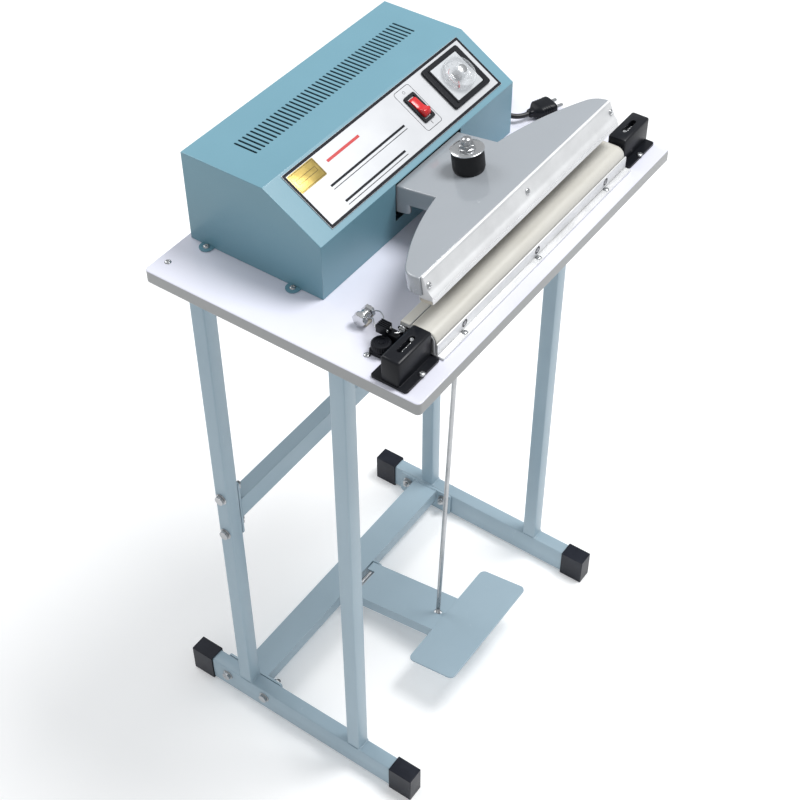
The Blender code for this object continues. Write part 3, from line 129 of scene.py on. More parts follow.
class Finish:
    # one material's shader nodes, with short calls to add and join them

    def __init__(self, name):
        self.material = bpy.data.materials.new(name)
        self.material.use_nodes = True
        self.tree = self.material.node_tree
        self.shader = self.tree.nodes["Principled BSDF"]
        self.coords = self.tree.nodes.new("ShaderNodeTexCoord")

    def node(self, kind, **values):
        made = self.tree.nodes.new(kind)
        for key, value in values.items():
            setattr(made, key, value)
        return made

    def join(self, source, target):
        self.tree.links.new(source, target)

    def feed(self, sockets, values):
        for socket, value in zip(sockets, values):
            if isinstance(value, (int, float)):
                socket.default_value = value
            elif isinstance(value, tuple):
                socket.default_value = (*value, 1) if len(socket.default_value) == 4 else value
            elif value is not None:
                self.join(value, socket)

    def noise(self, size, detail=3, rough=0.5, stretch=(1, 1, 1)):
        # soft blotches about size metres across, pulled along an axis where stretch is small
        mapping = self.node("ShaderNodeMapping")
        mapping.inputs["Scale"].default_value = stretch
        self.join(self.coords.outputs["Object"], mapping.inputs["Vector"])
        made = self.node("ShaderNodeTexNoise")
        made.inputs["Scale"].default_value = 1.0 / size
        made.inputs["Detail"].default_value = detail
        made.inputs["Roughness"].default_value = rough
        self.join(mapping.outputs["Vector"], made.inputs["Vector"])
        return made.outputs["Fac"]

    def ramp(self, value, *stops):
        made = self.node("ShaderNodeValToRGB")
        points = made.color_ramp.elements
        while len(points) < len(stops):
            points.new(0.5)
        for point, (spot, colour) in zip(points, stops):
            point.position = spot
            point.color = (*colour, 1)
        self.join(value, made.inputs["Fac"])
        return made.outputs["Color"]

    def span(self, value, low, high, start=0.0, end=1.0):
        made = self.node("ShaderNodeMapRange")
        self.feed([made.inputs[k] for k in ("Value", "From Min", "From Max", "To Min", "To Max")],
                  (value, start, end, low, high))
        return made.outputs["Result"]

    def maths(self, operation, *values):
        made = self.node("ShaderNodeMath", operation=operation)
        self.feed(made.inputs, values)
        return made.outputs["Value"]

    def mix(self, factor, a, b):
        made = self.node("ShaderNodeMix", data_type="RGBA")
        self.feed([s for s in made.inputs if s.enabled], (factor, a, b))
        return [s for s in made.outputs if s.enabled][0]

    def along(self, direction, shift=0.0):
        # how far a point lies along a direction, less shift, in metres
        made = self.node("ShaderNodeVectorMath", operation="DOT_PRODUCT")
        self.join(self.coords.outputs["Object"], made.inputs[0])
        made.inputs[1].default_value = direction
        return self.maths("SUBTRACT", made.outputs["Value"], shift)

    def uv(self, which):
        split = self.node("ShaderNodeSeparateXYZ")
        self.join(self.coords.outputs["UV"], split.inputs["Vector"])
        return split.outputs[which]

    def bump(self, height, depth, strength=1.0):
        made = self.node("ShaderNodeBump")
        made.inputs["Strength"].default_value = strength
        made.inputs["Distance"].default_value = depth
        self.join(height, made.inputs["Height"])
        self.join(made.outputs["Normal"], self.shader.inputs["Normal"])

    def gloss(self, size, detail, low, high):
        # roughness that drifts between low and high in soft clouds
        self.set(Roughness=self.span(self.noise(size, detail, 0.6), low, high))

    def set(self, **values):
        for key, value in values.items():
            self.feed([self.shader.inputs[key.replace("_", " ")]], (value,))


def paintOf(name, look):
    # sprayed paint: a slow drift of tone, a fine orange peel, and small scuffs that are paler and duller
    f = Finish(name)
    tone = f.ramp(f.noise(0.16, 4, 0.55), (0.30, look["dark"]), (0.72, look["pale"]))
    scuffs = f.span(f.noise(0.012, 5, 0.7, (1, 1, 0.35)), 0, 1, 0.64, 0.72)
    rare = f.span(f.noise(0.09, 2, 0.5), 0, 1, 0.50, 0.62)
    worn = f.maths("MULTIPLY", f.maths("MULTIPLY", scuffs, rare), look["wear"])
    f.set(Base_Color=f.mix(worn, tone, look["scuff"]), Metallic=look["metal"])
    rough = f.span(f.noise(0.05, 4, 0.6), look["rough"] - 0.05, look["rough"] + 0.07)
    f.set(Roughness=f.maths("ADD", rough, f.maths("MULTIPLY", worn, 0.25)))
    f.set(Coat_Weight=look["coat"], Coat_Roughness=look.get("coatRough", 0.12))
    f.bump(f.noise(look["grain"], 2, 0.5), look["depth"], 0.6)
    return f.material


def plasticOf(name, look):
    # moulded plastic or rubber: fine sparked grain, and dust lying in slow blotches
    f = Finish(name)
    dust = f.span(f.noise(0.03, 4, 0.6), 0, look["dust"], 0.45, 0.75)
    f.set(Base_Color=f.mix(dust, look["colour"], look["dustColour"]))
    f.set(Specular_IOR_Level=look.get("shine", 0.5))
    f.gloss(0.02, 3, look["rough"] - 0.07, look["rough"] + 0.08)
    f.bump(f.noise(look["grain"], 2, 0.6), look["depth"], 0.5)
    return f.material


def metalOf(name, look):
    # bare metal drawn or rolled one way: long fine lines, cloudy gloss and a few dull spots
    f = Finish(name)
    lines = f.noise(look["line"], 3, 0.6, look["stretch"])
    cloud = f.noise(0.035, 4, 0.6)
    tone = f.ramp(cloud, (0.3, look["dark"]), (0.7, look["pale"]))
    f.set(Base_Color=f.mix(f.span(lines, 0.0, look["contrast"]), tone, look["dark"]))
    f.set(Metallic=look.get("metal", 1.0))
    rough = f.span(cloud, look["rough"] - 0.05, look["rough"] + 0.09)
    f.set(Roughness=f.maths("ADD", rough, f.span(lines, -0.04, 0.04)))
    f.bump(lines, look["depth"], 0.35)
    return f.material


standPaint = paintOf("standPaint", {
    "dark": (0.300, 0.405, 0.475), "pale": (0.345, 0.455, 0.525), "scuff": (0.50, 0.58, 0.63),
    "wear": 0.5, "rough": 0.38, "grain": 0.0016, "depth": 0.00012, "metal": 0.0, "coat": 0.15,
})
casePaint = paintOf("casePaint", {
    "dark": (0.132, 0.280, 0.350), "pale": (0.148, 0.308, 0.382), "scuff": (0.25, 0.42, 0.49),
    "wear": 0.12, "rough": 0.36, "grain": 0.0011, "depth": 0.00010, "metal": 0.0, "coat": 0.25,
})
armPaint = paintOf("armPaint", {
    "dark": (0.290, 0.313, 0.338), "pale": (0.312, 0.336, 0.362), "scuff": (0.36, 0.38, 0.41),
    "wear": 0.05, "rough": 0.24, "grain": 0.0060, "depth": 0.00002, "metal": 0.0, "coat": 0.9,
    "coatRough": 0.04,
})
jawMetal = metalOf("jawMetal", {
    "dark": (0.72, 0.725, 0.73), "pale": (0.84, 0.845, 0.85), "line": 0.0005, "stretch": (0.01, 1, 1),
    "contrast": 0.25, "rough": 0.48, "depth": 0.00002, "metal": 0.55,
})
platedSteel = metalOf("platedSteel", {
    "dark": (0.38, 0.39, 0.40), "pale": (0.56, 0.57, 0.58), "line": 0.0006, "stretch": (1, 1, 0.2),
    "contrast": 0.30, "rough": 0.27, "depth": 0.00001,
})
chrome = metalOf("chrome", {
    "dark": (0.58, 0.59, 0.60), "pale": (0.70, 0.705, 0.71), "line": 0.0030, "stretch": (1, 1, 1),
    "contrast": 0.10, "rough": 0.20, "depth": 0.000004,
})
springSteel = metalOf("springSteel", {
    "dark": (0.34, 0.34, 0.35), "pale": (0.50, 0.50, 0.52), "line": 0.0005, "stretch": (1, 1, 1),
    "contrast": 0.30, "rough": 0.30, "depth": 0.00002,
})
copperWire = metalOf("copperWire", {
    "dark": (0.55, 0.22, 0.10), "pale": (0.75, 0.34, 0.18), "line": 0.0008, "stretch": (0.1, 0.1, 6),
    "contrast": 0.45, "rough": 0.32, "depth": 0.0002,
})
coreSteel = metalOf("coreSteel", {
    "dark": (0.16, 0.16, 0.17), "pale": (0.28, 0.28, 0.30), "line": 0.0006, "stretch": (0.1, 8, 0.1),
    "contrast": 0.60, "rough": 0.45, "depth": 0.0001,
})
nichromeBand = metalOf("nichromeBand", {
    "dark": (0.24, 0.22, 0.20), "pale": (0.42, 0.38, 0.34), "line": 0.0005, "stretch": (0.03, 1, 1),
    "contrast": 0.35, "rough": 0.38, "depth": 0.00001,
})
blackPlastic = plasticOf("blackPlastic", {
    "colour": (0.0055, 0.0065, 0.0095), "dustColour": (0.03, 0.03, 0.035), "dust": 0.15, "shine": 0.22,
    "rough": 0.34, "grain": 0.0006, "depth": 0.00005,
})
capPlastic = plasticOf("capPlastic", {
    "colour": (0.0080, 0.0100, 0.0180), "dustColour": (0.05, 0.06, 0.08), "dust": 0.20, "shine": 0.25,
    "rough": 0.36, "grain": 0.0008, "depth": 0.00006,
})
blackRubber = plasticOf("blackRubber", {
    "colour": (0.0080, 0.0085, 0.0100), "dustColour": (0.04, 0.04, 0.04), "dust": 0.2, "shine": 0.25,
    "rough": 0.50, "grain": 0.0005, "depth": 0.00005,
})
siliconeGum = plasticOf("siliconeGum", {
    "colour": (0.56, 0.52, 0.44), "dustColour": (0.42, 0.39, 0.33), "dust": 0.3,
    "rough": 0.52, "grain": 0.0007, "depth": 0.00004,
})
boardGreen = plasticOf("boardGreen", {
    "colour": (0.012, 0.115, 0.045), "dustColour": (0.04, 0.16, 0.08), "dust": 0.4,
    "rough": 0.30, "grain": 0.0010, "depth": 0.00008,
})
cordSheath = plasticOf("cordSheath", {
    "colour": (0.0100, 0.0100, 0.0120), "dustColour": (0.05, 0.05, 0.055), "dust": 0.3,
    "rough": 0.40, "grain": 0.0008, "depth": 0.00003,
})
blackPrint = plasticOf("blackPrint", {
    "colour": (0.004, 0.005, 0.009), "dustColour": (0.02, 0.02, 0.025), "dust": 0.10, "shine": 0.2,
    "rough": 0.55, "grain": 0.0006, "depth": 0.00001,
})
redPrint = plasticOf("redPrint", {
    "colour": (0.50, 0.012, 0.014), "dustColour": (0.50, 0.06, 0.05), "dust": 0.15,
    "rough": 0.42, "grain": 0.0006, "depth": 0.00001,
})
print("shared finishes ready")


def linkMesh(name, points, faces, smoothUnder=40, uv=None):
    mesh = bpy.data.meshes.new(name)
    mesh.from_pydata(np.asarray(points, float).reshape(-1, 3).tolist(), [], faces)
    if uv is not None:
        layer = mesh.uv_layers.new(name="UVMap")
        corner = np.empty(len(mesh.loops), np.int32)
        mesh.loops.foreach_get("vertex_index", corner)
        layer.data.foreach_set("uv", np.asarray(uv, np.float32)[corner].ravel())
    tidy = bmesh.new()
    tidy.from_mesh(mesh)
    bmesh.ops.remove_doubles(tidy, verts=tidy.verts[:], dist=1e-6)
    bmesh.ops.recalc_face_normals(tidy, faces=tidy.faces[:])
    tidy.to_mesh(mesh)
    tidy.free()
    mesh.shade_smooth()
    mesh.set_sharp_from_angle(angle=math.radians(smoothUnder))
    return linkThing(name, mesh)


def gridFaces(rows, columns, loop):
    # quads between neighbouring rows of points; loop joins the last column to the first
    row = np.arange(rows - 1)[:, None]
    column = np.arange(columns if loop else columns - 1)[None, :]
    after = (column + 1) % columns
    quads = np.stack([row * columns + column, row * columns + after,
                      (row + 1) * columns + after, (row + 1) * columns + column], -1)
    return quads.reshape(-1, 4).tolist()


def ringFaces(rows, columns):
    # the same with the last row joined to the first as well
    last = (rows - 1) * columns
    seam = [[last + i, last + (i + 1) % columns, (i + 1) % columns, i] for i in range(columns)]
    return gridFaces(rows, columns, True) + seam


def carried(place, points):
    # points of a piece's own frame, taken to its place by the matrix place
    return np.asarray(points, float).reshape(-1, 3) @ np.array(place.to_3x3()).T + np.array(place.translation)


def placeAt(spot, up=(0, 0, 1), turn=0.0):
    # a frame at spot whose W axis points along up, turned round it by turn degrees
    face = Vector(up).normalized().to_track_quat("Z", "X").to_matrix().to_4x4()
    return Matrix.Translation(spot) @ face @ Matrix.Rotation(math.radians(turn), 4, "Z")


def keep(piece, node, material):
    # the piece moves with a CAD part, and takes the given material
    piece.data.materials.clear()
    piece.data.materials.append(material)
    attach(piece, bodyOf[node])
    return piece


def standIn(piece, node, material):
    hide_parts(node)
    return keep(piece, node, material)


def lathePoints(profile, place, sides=48, wave=None):
    # each (radius, height) of the profile swept once round W; wave(angle, height, radius) scales the radius
    profile = np.asarray(profile, float)
    angle = np.linspace(0, 2 * np.pi, sides, endpoint=False)[None, :]
    radius = np.repeat(profile[:, :1], sides, 1)
    height = np.repeat(profile[:, 1:], sides, 1)
    if wave:
        radius = radius * wave(angle, height, radius)
    grid = np.stack([radius * np.cos(angle), radius * np.sin(angle), height], -1)
    return carried(place, grid), gridFaces(len(profile), sides, True)


def lathe(name, profile, place, sides=48, wave=None, smoothUnder=40):
    points, faces = lathePoints(profile, place, sides, wave)
    return linkMesh(name, points, faces, smoothUnder)


def gathered(name, parts, smoothUnder=40):
    # several shells joined into one mesh: a list of (points, faces)
    points = []
    faces = []
    start = 0
    for shell, quads in parts:
        points.append(shell)
        faces += [[index + start for index in quad] for quad in quads]
        start += len(shell)
    return linkMesh(name, np.concatenate(points), faces, smoothUnder)


def hexWave(*bands):
    # within each (low, high) band of heights the circle becomes a hexagon inside it
    def wave(angle, height, radius):
        around = (angle + np.pi / 6) % (np.pi / 3) - np.pi / 6
        six = np.cos(np.pi / 6) / np.cos(around)
        within = sum((height > low) & (height < high) for low, high in bands)
        return np.where(within, six, 1.0)
    return wave


def boltHeadPoints(place, radius, height, washer=0.0):
    # a hexagon head with a turned-down corner, on a flat washer
    wash = 0.0012 if washer else 0.0
    rise = wash + height
    profile = [(0, -0.0004), (washer or radius, -0.0004)]
    if washer:
        profile += [(washer, 0), (washer, wash * 0.7), (washer - 0.0003, wash), (radius * 1.01, wash)]
    profile += [(radius, wash + 1e-5), (radius, rise - 0.0006), (radius * 0.95, rise - 0.0002),
                (radius * 0.82, rise), (radius * 0.5, rise), (0, rise)]
    return lathePoints(profile, place, 48, hexWave((wash + 1e-6, rise - 0.0003)))


def screwPoints(place, radius, height, rings=14, sides=40):
    # a domed head with a cross recess: height = dome(r) - depth * cross(r, angle)
    share = np.linspace(0, 1, rings)[:, None]
    angle = np.linspace(0, 2 * np.pi, sides, endpoint=False)[None, :]
    r = share * radius * np.ones_like(angle)
    x = r * np.cos(angle)
    y = r * np.sin(angle)
    dome = height * np.sqrt(np.clip(1 - share**2 * 0.985, 0, 1)) * np.ones_like(angle)
    arm = np.minimum(np.abs(x), np.abs(y))
    cross = np.clip((radius * 0.17 - arm) / (radius * 0.07), 0, 1)
    cross = cross * np.clip((radius * 0.62 - r) / (radius * 0.12), 0, 1)
    top = np.stack([x, y, dome - cross * height * 0.35], -1)
    foot = np.stack([r[-1:] * np.cos(angle), r[-1:] * np.sin(angle), angle * 0 - 0.0003], -1)
    grid = np.concatenate([top, foot, foot * np.array([0, 0, 1.0])])
    return carried(place, grid), gridFaces(rings + 2, sides, True)


def turned(spots, first, step, up=(0, 0, 1)):
    # frames at the spots, each turned step degrees further than the one before
    return [placeAt(spot, up, first + step * i) for i, spot in enumerate(spots)]


def screws(name, node, places, size, material=platedSteel):
    # cross-head screws of one size: (radius, height)
    piece = gathered(name, [screwPoints(place, *size) for place in places], 32)
    return keep(piece, node, material)


def eased(share):
    # a smooth step from 0 to 1: 3 s^2 - 2 s^3
    share = np.clip(share, 0, 1)
    return share * share * (3 - 2 * share)


def runAlong(path):
    # how far each point of a path lies from its start
    return np.concatenate([[0], np.cumsum(np.linalg.norm(np.diff(path, axis=0), axis=1))])


def pathFrames(path):
    # the tangent and two cross directions at each point of a path, carried along without twist
    path = np.asarray(path, float)
    tangent = np.gradient(path, axis=0)
    tangent /= np.linalg.norm(tangent, axis=1, keepdims=True)
    side = np.zeros_like(path)
    guess = np.array([0.0, 0.0, 1.0]) if abs(tangent[0, 2]) < 0.9 else np.array([1.0, 0.0, 0.0])
    for i, t in enumerate(tangent):
        guess = guess - t * guess.dot(t)
        guess /= np.linalg.norm(guess)
        side[i] = guess
    return tangent, side, np.cross(tangent, side)


def tubePoints(path, radius, sides=14, closed=False):
    # a circle of the given radius carried along the path, with rounded ends
    path = np.asarray(path, float)
    tangent, side, across = pathFrames(path)
    size = np.full(len(path), float(radius)) if np.isscalar(radius) else np.asarray(radius, float)
    if not closed:
        lean = np.array([0.0, 0.5, 0.87])
        head = path[0] - tangent[0] * size[0] * 0.5 * (1 - lean[:, None])
        tail = path[-1] + tangent[-1] * size[-1] * 0.5 * (1 - lean[::-1][:, None])
        path = np.concatenate([head, path, tail])
        side = np.concatenate([np.repeat(side[:1], 3, 0), side, np.repeat(side[-1:], 3, 0)])
        across = np.concatenate([np.repeat(across[:1], 3, 0), across, np.repeat(across[-1:], 3, 0)])
        size = np.concatenate([size[0] * lean, size, size[-1] * lean[::-1]])
    rows = len(path)
    angle = np.linspace(0, 2 * np.pi, sides, endpoint=False)
    ring = (side[:, None] * np.cos(angle)[None, :, None]
            + across[:, None] * np.sin(angle)[None, :, None])
    grid = path[:, None] + ring * size[:, None, None]
    faces = ringFaces(rows, sides) if closed else gridFaces(rows, sides, True)
    return grid.reshape(-1, 3), faces


def smoothPath(points, steps):
    # a curve through the points: on each stretch the cubic whose slopes match the neighbours' chords
    p = np.asarray(points, float)
    p = np.concatenate([2 * p[:1] - p[1:2], p, 2 * p[-1:] - p[-2:-1]])
    t = (np.arange(steps) / steps)[None, :, None]
    a, b, c, d = (p[i:len(p) - 3 + i][:, None] for i in range(4))
    found = (b * 2 + (c - a) * t + (a * 2 - b * 5 + c * 4 - d) * t**2 + (b * 3 - a - c * 3 + d) * t**3) / 2
    return np.concatenate([found.reshape(-1, 3), p[-2:-1]])


def evenPath(path, step):
    # the same line with points a step apart
    path = np.asarray(path, float)
    run = runAlong(path)
    spots = np.linspace(0, run[-1], max(2, int(round(run[-1] / step)) + 1))
    return np.stack([np.interp(spots, run, path[:, k]) for k in range(3)], 1)


def loftPoints(sections):
    # closed outlines joined one to the next, the first and last closed by a flat face
    sections = np.asarray(sections, float)
    rows, columns = sections.shape[:2]
    faces = gridFaces(rows, columns, True)
    faces.append(list(range(columns))[::-1])
    faces.append([(rows - 1) * columns + i for i in range(columns)])
    return sections.reshape(-1, 3), faces


def roundedBox(halfU, halfV, radius, steps=6):
    # a rectangle with round corners, counter-clockwise round the origin
    angle = np.linspace(0, np.pi / 2, steps)
    corner = np.stack([np.cos(angle), np.sin(angle)], 1) * radius
    spots = []
    for k, (u, v) in enumerate(((1, 1), (-1, 1), (-1, -1), (1, -1))):
        c, s = math.cos(k * math.pi / 2), math.sin(k * math.pi / 2)
        spots.append(corner @ np.array([[c, s], [-s, c]]) + [u * (halfU - radius), v * (halfV - radius)])
    return np.concatenate(spots)


def padPoints(place, halfU, halfV, radius, layers, steps=6):
    # a rounded rectangle stacked through layers of (inset, height)
    rows = [np.column_stack([roundedBox(halfU - i, halfV - i, max(radius - i, 0.0001), steps),
                             np.full(4 * steps, h)]) for i, h in layers]
    points, faces = loftPoints(rows)
    return carried(place, points), faces


def openCopy(node, width=0.0006, segments=2, longer=0.0):
    # a CAD part's own shape with its corners broken; with longer, only its longer edges are
    mesh = nodes[node].data.copy()
    tidy = bmesh.new()
    tidy.from_mesh(mesh)
    bmesh.ops.remove_doubles(tidy, verts=tidy.verts[:], dist=2e-6)
    bmesh.ops.dissolve_limit(tidy, angle_limit=math.radians(1.0), verts=tidy.verts[:], edges=tidy.edges[:])
    if longer:
        weight = tidy.edges.layers.float.new("bevel_weight_edge")
        for edge in tidy.edges:
            if len(edge.link_faces) == 2 and edge.calc_length() > longer:
                edge[weight] = 1.0 if edge.calc_face_angle(0) > math.radians(20) else 0.0
    tidy.to_mesh(mesh)
    tidy.free()
    mesh.shade_smooth()
    mesh.set_sharp_from_angle(angle=math.radians(38))
    piece = linkThing(node + "_dressed", mesh)
    bevel = piece.modifiers.new("brokenCorners", "BEVEL")
    bevel.width = width
    bevel.segments = segments
    bevel.limit_method = "WEIGHT" if longer else "ANGLE"
    bevel.angle_limit = math.radians(38)
    return piece


def dress(node, material, width=0.0006, segments=2, longer=0.0):
    return standIn(openCopy(node, width, segments, longer), node, material)


def middleOf(node):
    low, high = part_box(node)
    return (low + high) / 2


def put(place, x, y, z):
    # a frame moved along its own axes
    return place @ Matrix.Translation((x, y, z))


def turnedBy(angle, axis):
    # a turn by an angle in radians about one axis
    return Matrix.Rotation(angle, 4, axis)


def repaint(node, material):
    nodes[node].data.materials.clear()
    nodes[node].data.materials.append(material)


# the board: white melamine on top, a plain grey band round its edge
board = {
    "white": (0.70, 0.705, 0.80), "whiter": (0.76, 0.765, 0.85), "speck": (0.60, 0.605, 0.68),
    "band": (0.33, 0.335, 0.335), "round": 0.0009,
    "screws": ((-0.2218, -0.1148), (-0.2265, 0.1375), (0.2218, -0.1148), (0.2265, 0.1375)),
    "screwSize": (0.0038, 0.0016),
}


def makeBoard():
    f = Finish("laminate")
    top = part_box("table_top")[1].z
    band = f.span(f.along((0, 0, 1), top), 1, 0, -0.0011, -0.0006)
    speck = f.span(f.noise(0.0028, 3, 0.7), 0.0, 0.06, 0.55, 0.75)
    white = f.ramp(f.noise(0.11, 4, 0.5), (0.3, board["white"]), (0.7, board["whiter"]))
    f.set(Base_Color=f.mix(band, f.mix(speck, white, board["speck"]), board["band"]))
    rough = f.span(f.noise(0.04, 4, 0.6), 0.24, 0.38)
    f.set(Roughness=f.maths("ADD", rough, f.maths("MULTIPLY", band, 0.15)), Coat_Weight=0.2)
    f.bump(f.noise(0.0014, 2, 0.5), 0.00006, 0.5)
    dress("table_top", f.material, board["round"], 2)
    places = turned([(x, y, top) for x, y in board["screws"]], 20, 37)
    screws("board_screws", "table_top", places, board["screwSize"])


makeBoard()

# the stand: square tube with rounded corners, weld beads, bolts and push-on feet
stand = {
    # brace: its half height in Y and Z and the height of its middle
    "braces": {"upper_brace": (0.0101, 0.0161, 0.3855), "cross_member": (0.0201, 0.0101, 0.030)},
    "corner": 0.0006, "capCorner": 0.0024, "bead": 0.0013, "lump": 0.16, "tubeRound": 0.0028,
    "washer": 0.0078, "headRadius": 0.0064, "headHeight": 0.0042, "nutHeight": 0.0045,
    "crossBoltSpread": 0.032, "crossBoltHeight": 0.028,
}


def beadPoints(centre, halfU, halfV, uAxis, vAxis, radius):
    # a weld round a tube: a circle carried round a rounded rectangle, its radius swelling by sines
    outline = roundedBox(halfU, halfV, stand["tubeRound"], 5)
    outline = np.concatenate([outline, outline[:1]])
    flat = evenPath(np.column_stack([outline, outline[:, 0] * 0]), 0.0008)[:-1]
    route = np.array(centre) + flat[:, :1] * np.array(uAxis) + flat[:, 1:2] * np.array(vAxis)
    step = np.arange(len(route))
    size = radius * (1 + stand["lump"] * np.sin(step * 1.9) + 0.5 * stand["lump"] * np.sin(step * 0.37))
    return tubePoints(route, size, 8, closed=True)


def makeStand():
    # every tube of the stand and its caps, then the beads of weld where tubes meet
    for node in nodes:
        if slotOf[node] == "stand_paint" and not node.startswith("pedal"):
            dress(node, standPaint, stand["corner"], 2)
        elif slotOf[node] == "cap_rubber":
            dress(node, capPlastic, stand["capCorner"], 3)
    beads = []
    along = {"x": (1, 0, 0), "y": (0, 1, 0), "z": (0, 0, 1)}
    for node in ("leg_front_left", "leg_front_right", "leg_back_left", "leg_back_right"):
        low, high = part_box(node)
        middle = (low + high) / 2
        half = (high.x - low.x) / 2 + 0.0001
        for z in (low.z, high.z):
            spot = (middle.x, middle.y, z)
            beads.append(beadPoints(spot, half, half, along["x"], along["y"], stand["bead"]))
    for node, (halfY, halfZ, z) in stand["braces"].items():
        low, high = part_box(node)
        y = (low.y + high.y) / 2
        for x in (low.x + 0.0031, high.x - 0.0031):
            beads.append(beadPoints((x, y, z), halfY, halfZ, along["y"], along["z"], stand["bead"] * 0.85))
    keep(gathered("weld_beads", beads), "upper_brace", standPaint)


def boltParts(x, y, z, side, grip):
    # a hexagon bolt through the tube: head and washer outside, washer, nut and thread end inside
    inner = x - side * grip
    shell = []
    for spot, out, turn, height in ((x, side, 11, "headHeight"), (inner, -side, 23, "nutHeight")):
        place = placeAt((spot, y, z), (out, 0, 0), turn)
        shell.append(boltHeadPoints(place, stand["headRadius"], stand[height], stand["washer"]))
    thread = [(0, 0), (0.0028, 0), (0.0030, 0.0003)]
    for i in range(6):
        thread += [(0.0026, 0.0055 + 0.0007 * i), (0.0030, 0.00585 + 0.0007 * i)]
    thread += [(0.0026, 0.0098), (0.0022, 0.0102), (0, 0.0102)]
    shell.append(lathePoints(thread, placeAt((inner, y, z), (-side, 0, 0)), 24))
    return shell


def tubeFace(node, side):
    # the outer face of a tube on this side, and what a bolt through it grips
    low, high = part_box(node)
    return (high.x if side > 0 else low.x), high.x - low.x + 0.0034


def makeBolts():
    for sideName, side in (("left", -1), ("right", 1)):
        face, grip = tubeFace(f"leg_back_{sideName}", side)
        for i in (1, 2):
            node = f"brace_bolt_{sideName}_{i}"
            spot = middleOf(node)
            shell = boltParts(face, spot.y, spot.z, side, grip)
            standIn(gathered(node + "_hex", shell, 30), node, platedSteel)
        face, grip = tubeFace(f"runner_{sideName}", side)
        y = middleOf("cross_member").y
        shell = []
        for shift in (-stand["crossBoltSpread"], stand["crossBoltSpread"]):
            shell += boltParts(face, y + shift, stand["crossBoltHeight"], side, grip)
        keep(gathered(f"cross_bolts_{sideName}", shell, 30), "cross_member", platedSteel)


makeStand()
makeBolts()
print("board and stand done")

# the pedal and its pull rod
pedal = {
    "corner": 0.0005, "pinRadius": 0.0040, "pinCorner": 0.0006, "rodRadius": 0.0030,
    "threadPitch": 0.0008, "threadLength": 0.030, "threadDepth": 0.00022, "rodLean": 1.929,
    "nutRadius": 0.0065,
}


def makePedal():
    # the welded arm and plate, and the turned pin they swing on
    dress("pedal_arm", standPaint, pedal["corner"], 3)
    dress("pedal_plate", standPaint, 0.0009, 3)
    low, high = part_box("pedal_pin")
    half = (high.x - low.x) / 2
    r = pedal["pinRadius"]
    c = pedal["pinCorner"]
    pin = [(0, -half), (r - c, -half), (r, -half + c), (r, half - c), (r - c, half), (0, half)]
    place = placeAt(middleOf("pedal_pin"), (1, 0, 0))
    standIn(lathe("pedal_pin_turned", pin, place, 32), "pedal_pin", platedSteel)


def makePullRod():
    # a round bar whose lower end is threaded: radius = r - depth * (1 + sin(turns))
    low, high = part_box("pull_rod")
    lean = math.radians(pedal["rodLean"])
    down = Vector((0, math.sin(lean), -math.cos(lean)))
    r = pedal["rodRadius"]
    top = Vector(((low.x + high.x) / 2, low.y + r * math.cos(lean), high.z - r * math.sin(lean)))
    length = (high.z - low.z) / math.cos(lean) - 0.0003
    start = length - pedal["threadLength"]
    pitch = pedal["threadPitch"]
    height = np.concatenate([np.linspace(0.0008, start, 60), np.arange(start, length - 0.001, pitch / 4)])
    radius = r - (height > start) * pedal["threadDepth"] * (1 + np.sin(height / pitch * 2 * np.pi))
    profile = [(0, 0), (r * 0.75, 0)] + list(zip(radius, height)) + [(r * 0.7, length), (0, length)]
    rod = lathe("pull_rod_threaded", profile, placeAt(top, down), 20, smoothUnder=60)
    standIn(rod, "pull_rod", platedSteel)
    n = pedal["nutRadius"]
    nut = [(0, -0.0025), (n * 0.85, -0.0025), (n, -0.0021), (n, 0.0021), (n * 0.85, 0.0025), (0, 0.0025)]
    piece = lathe("rod_nut_hex", nut, placeAt(middleOf("rod_nut"), down), 48, hexWave((-0.0022, 0.0022)), 30)
    standIn(piece, "rod_nut", platedSteel)


makePedal()
makePullRod()

# the case: folded sheet, its floor, feet screws and what stands inside
case = {
    "fold": 0.0014,
    "earScrews": ((-0.1855, 0.005), (-0.1855, 0.120), (0.1755, 0.005), (0.1755, 0.120)),
    "earTop": 0.7675, "screwSize": (0.0036, 0.0018),
    "slopeFoot": (-0.0315, 0.8338), "slopeAngle": 31.083, "slopeLength": 0.08232,
}
slopeCos = math.cos(math.radians(case["slopeAngle"]))
slopeSin = math.sin(math.radians(case["slopeAngle"]))


def slopePlace(x, up, lift):
    # a frame on the sloped face: U is X, V runs up the slope, W stands off it
    turn = Matrix(((1, 0, 0), (0, slopeCos, -slopeSin), (0, slopeSin, slopeCos))).to_4x4()
    y, z = case["slopeFoot"]
    y += slopeCos * up - slopeSin * lift
    z += slopeSin * up + slopeCos * lift
    return Matrix.Translation((x, y, z)) @ turn


def makeCase():
    # the folded cover and floor, the screws in its ears, and the works inside
    dress("case_cover", casePaint, case["fold"], 3, longer=0.03)
    dress("case_base", casePaint, 0.0003, 1)
    places = turned([(x, y, case["earTop"]) for x, y in case["earScrews"]], 15, 40)
    screws("ear_screws", "case_cover", places, case["screwSize"])
    for node, material in (("transformer_core", coreSteel), ("transformer_coil", copperWire),
                           ("timer_board", boardGreen), ("pivot_shaft", platedSteel),
                           ("return_spring", springSteel), ("heating_element", nichromeBand)):
        repaint(node, material)
    for node, material in (("microswitch", blackPlastic), ("pivot_bracket_left", platedSteel),
                           ("pivot_bracket_right", platedSteel)):
        dress(node, material, 0.0004, 2)


makeCase()

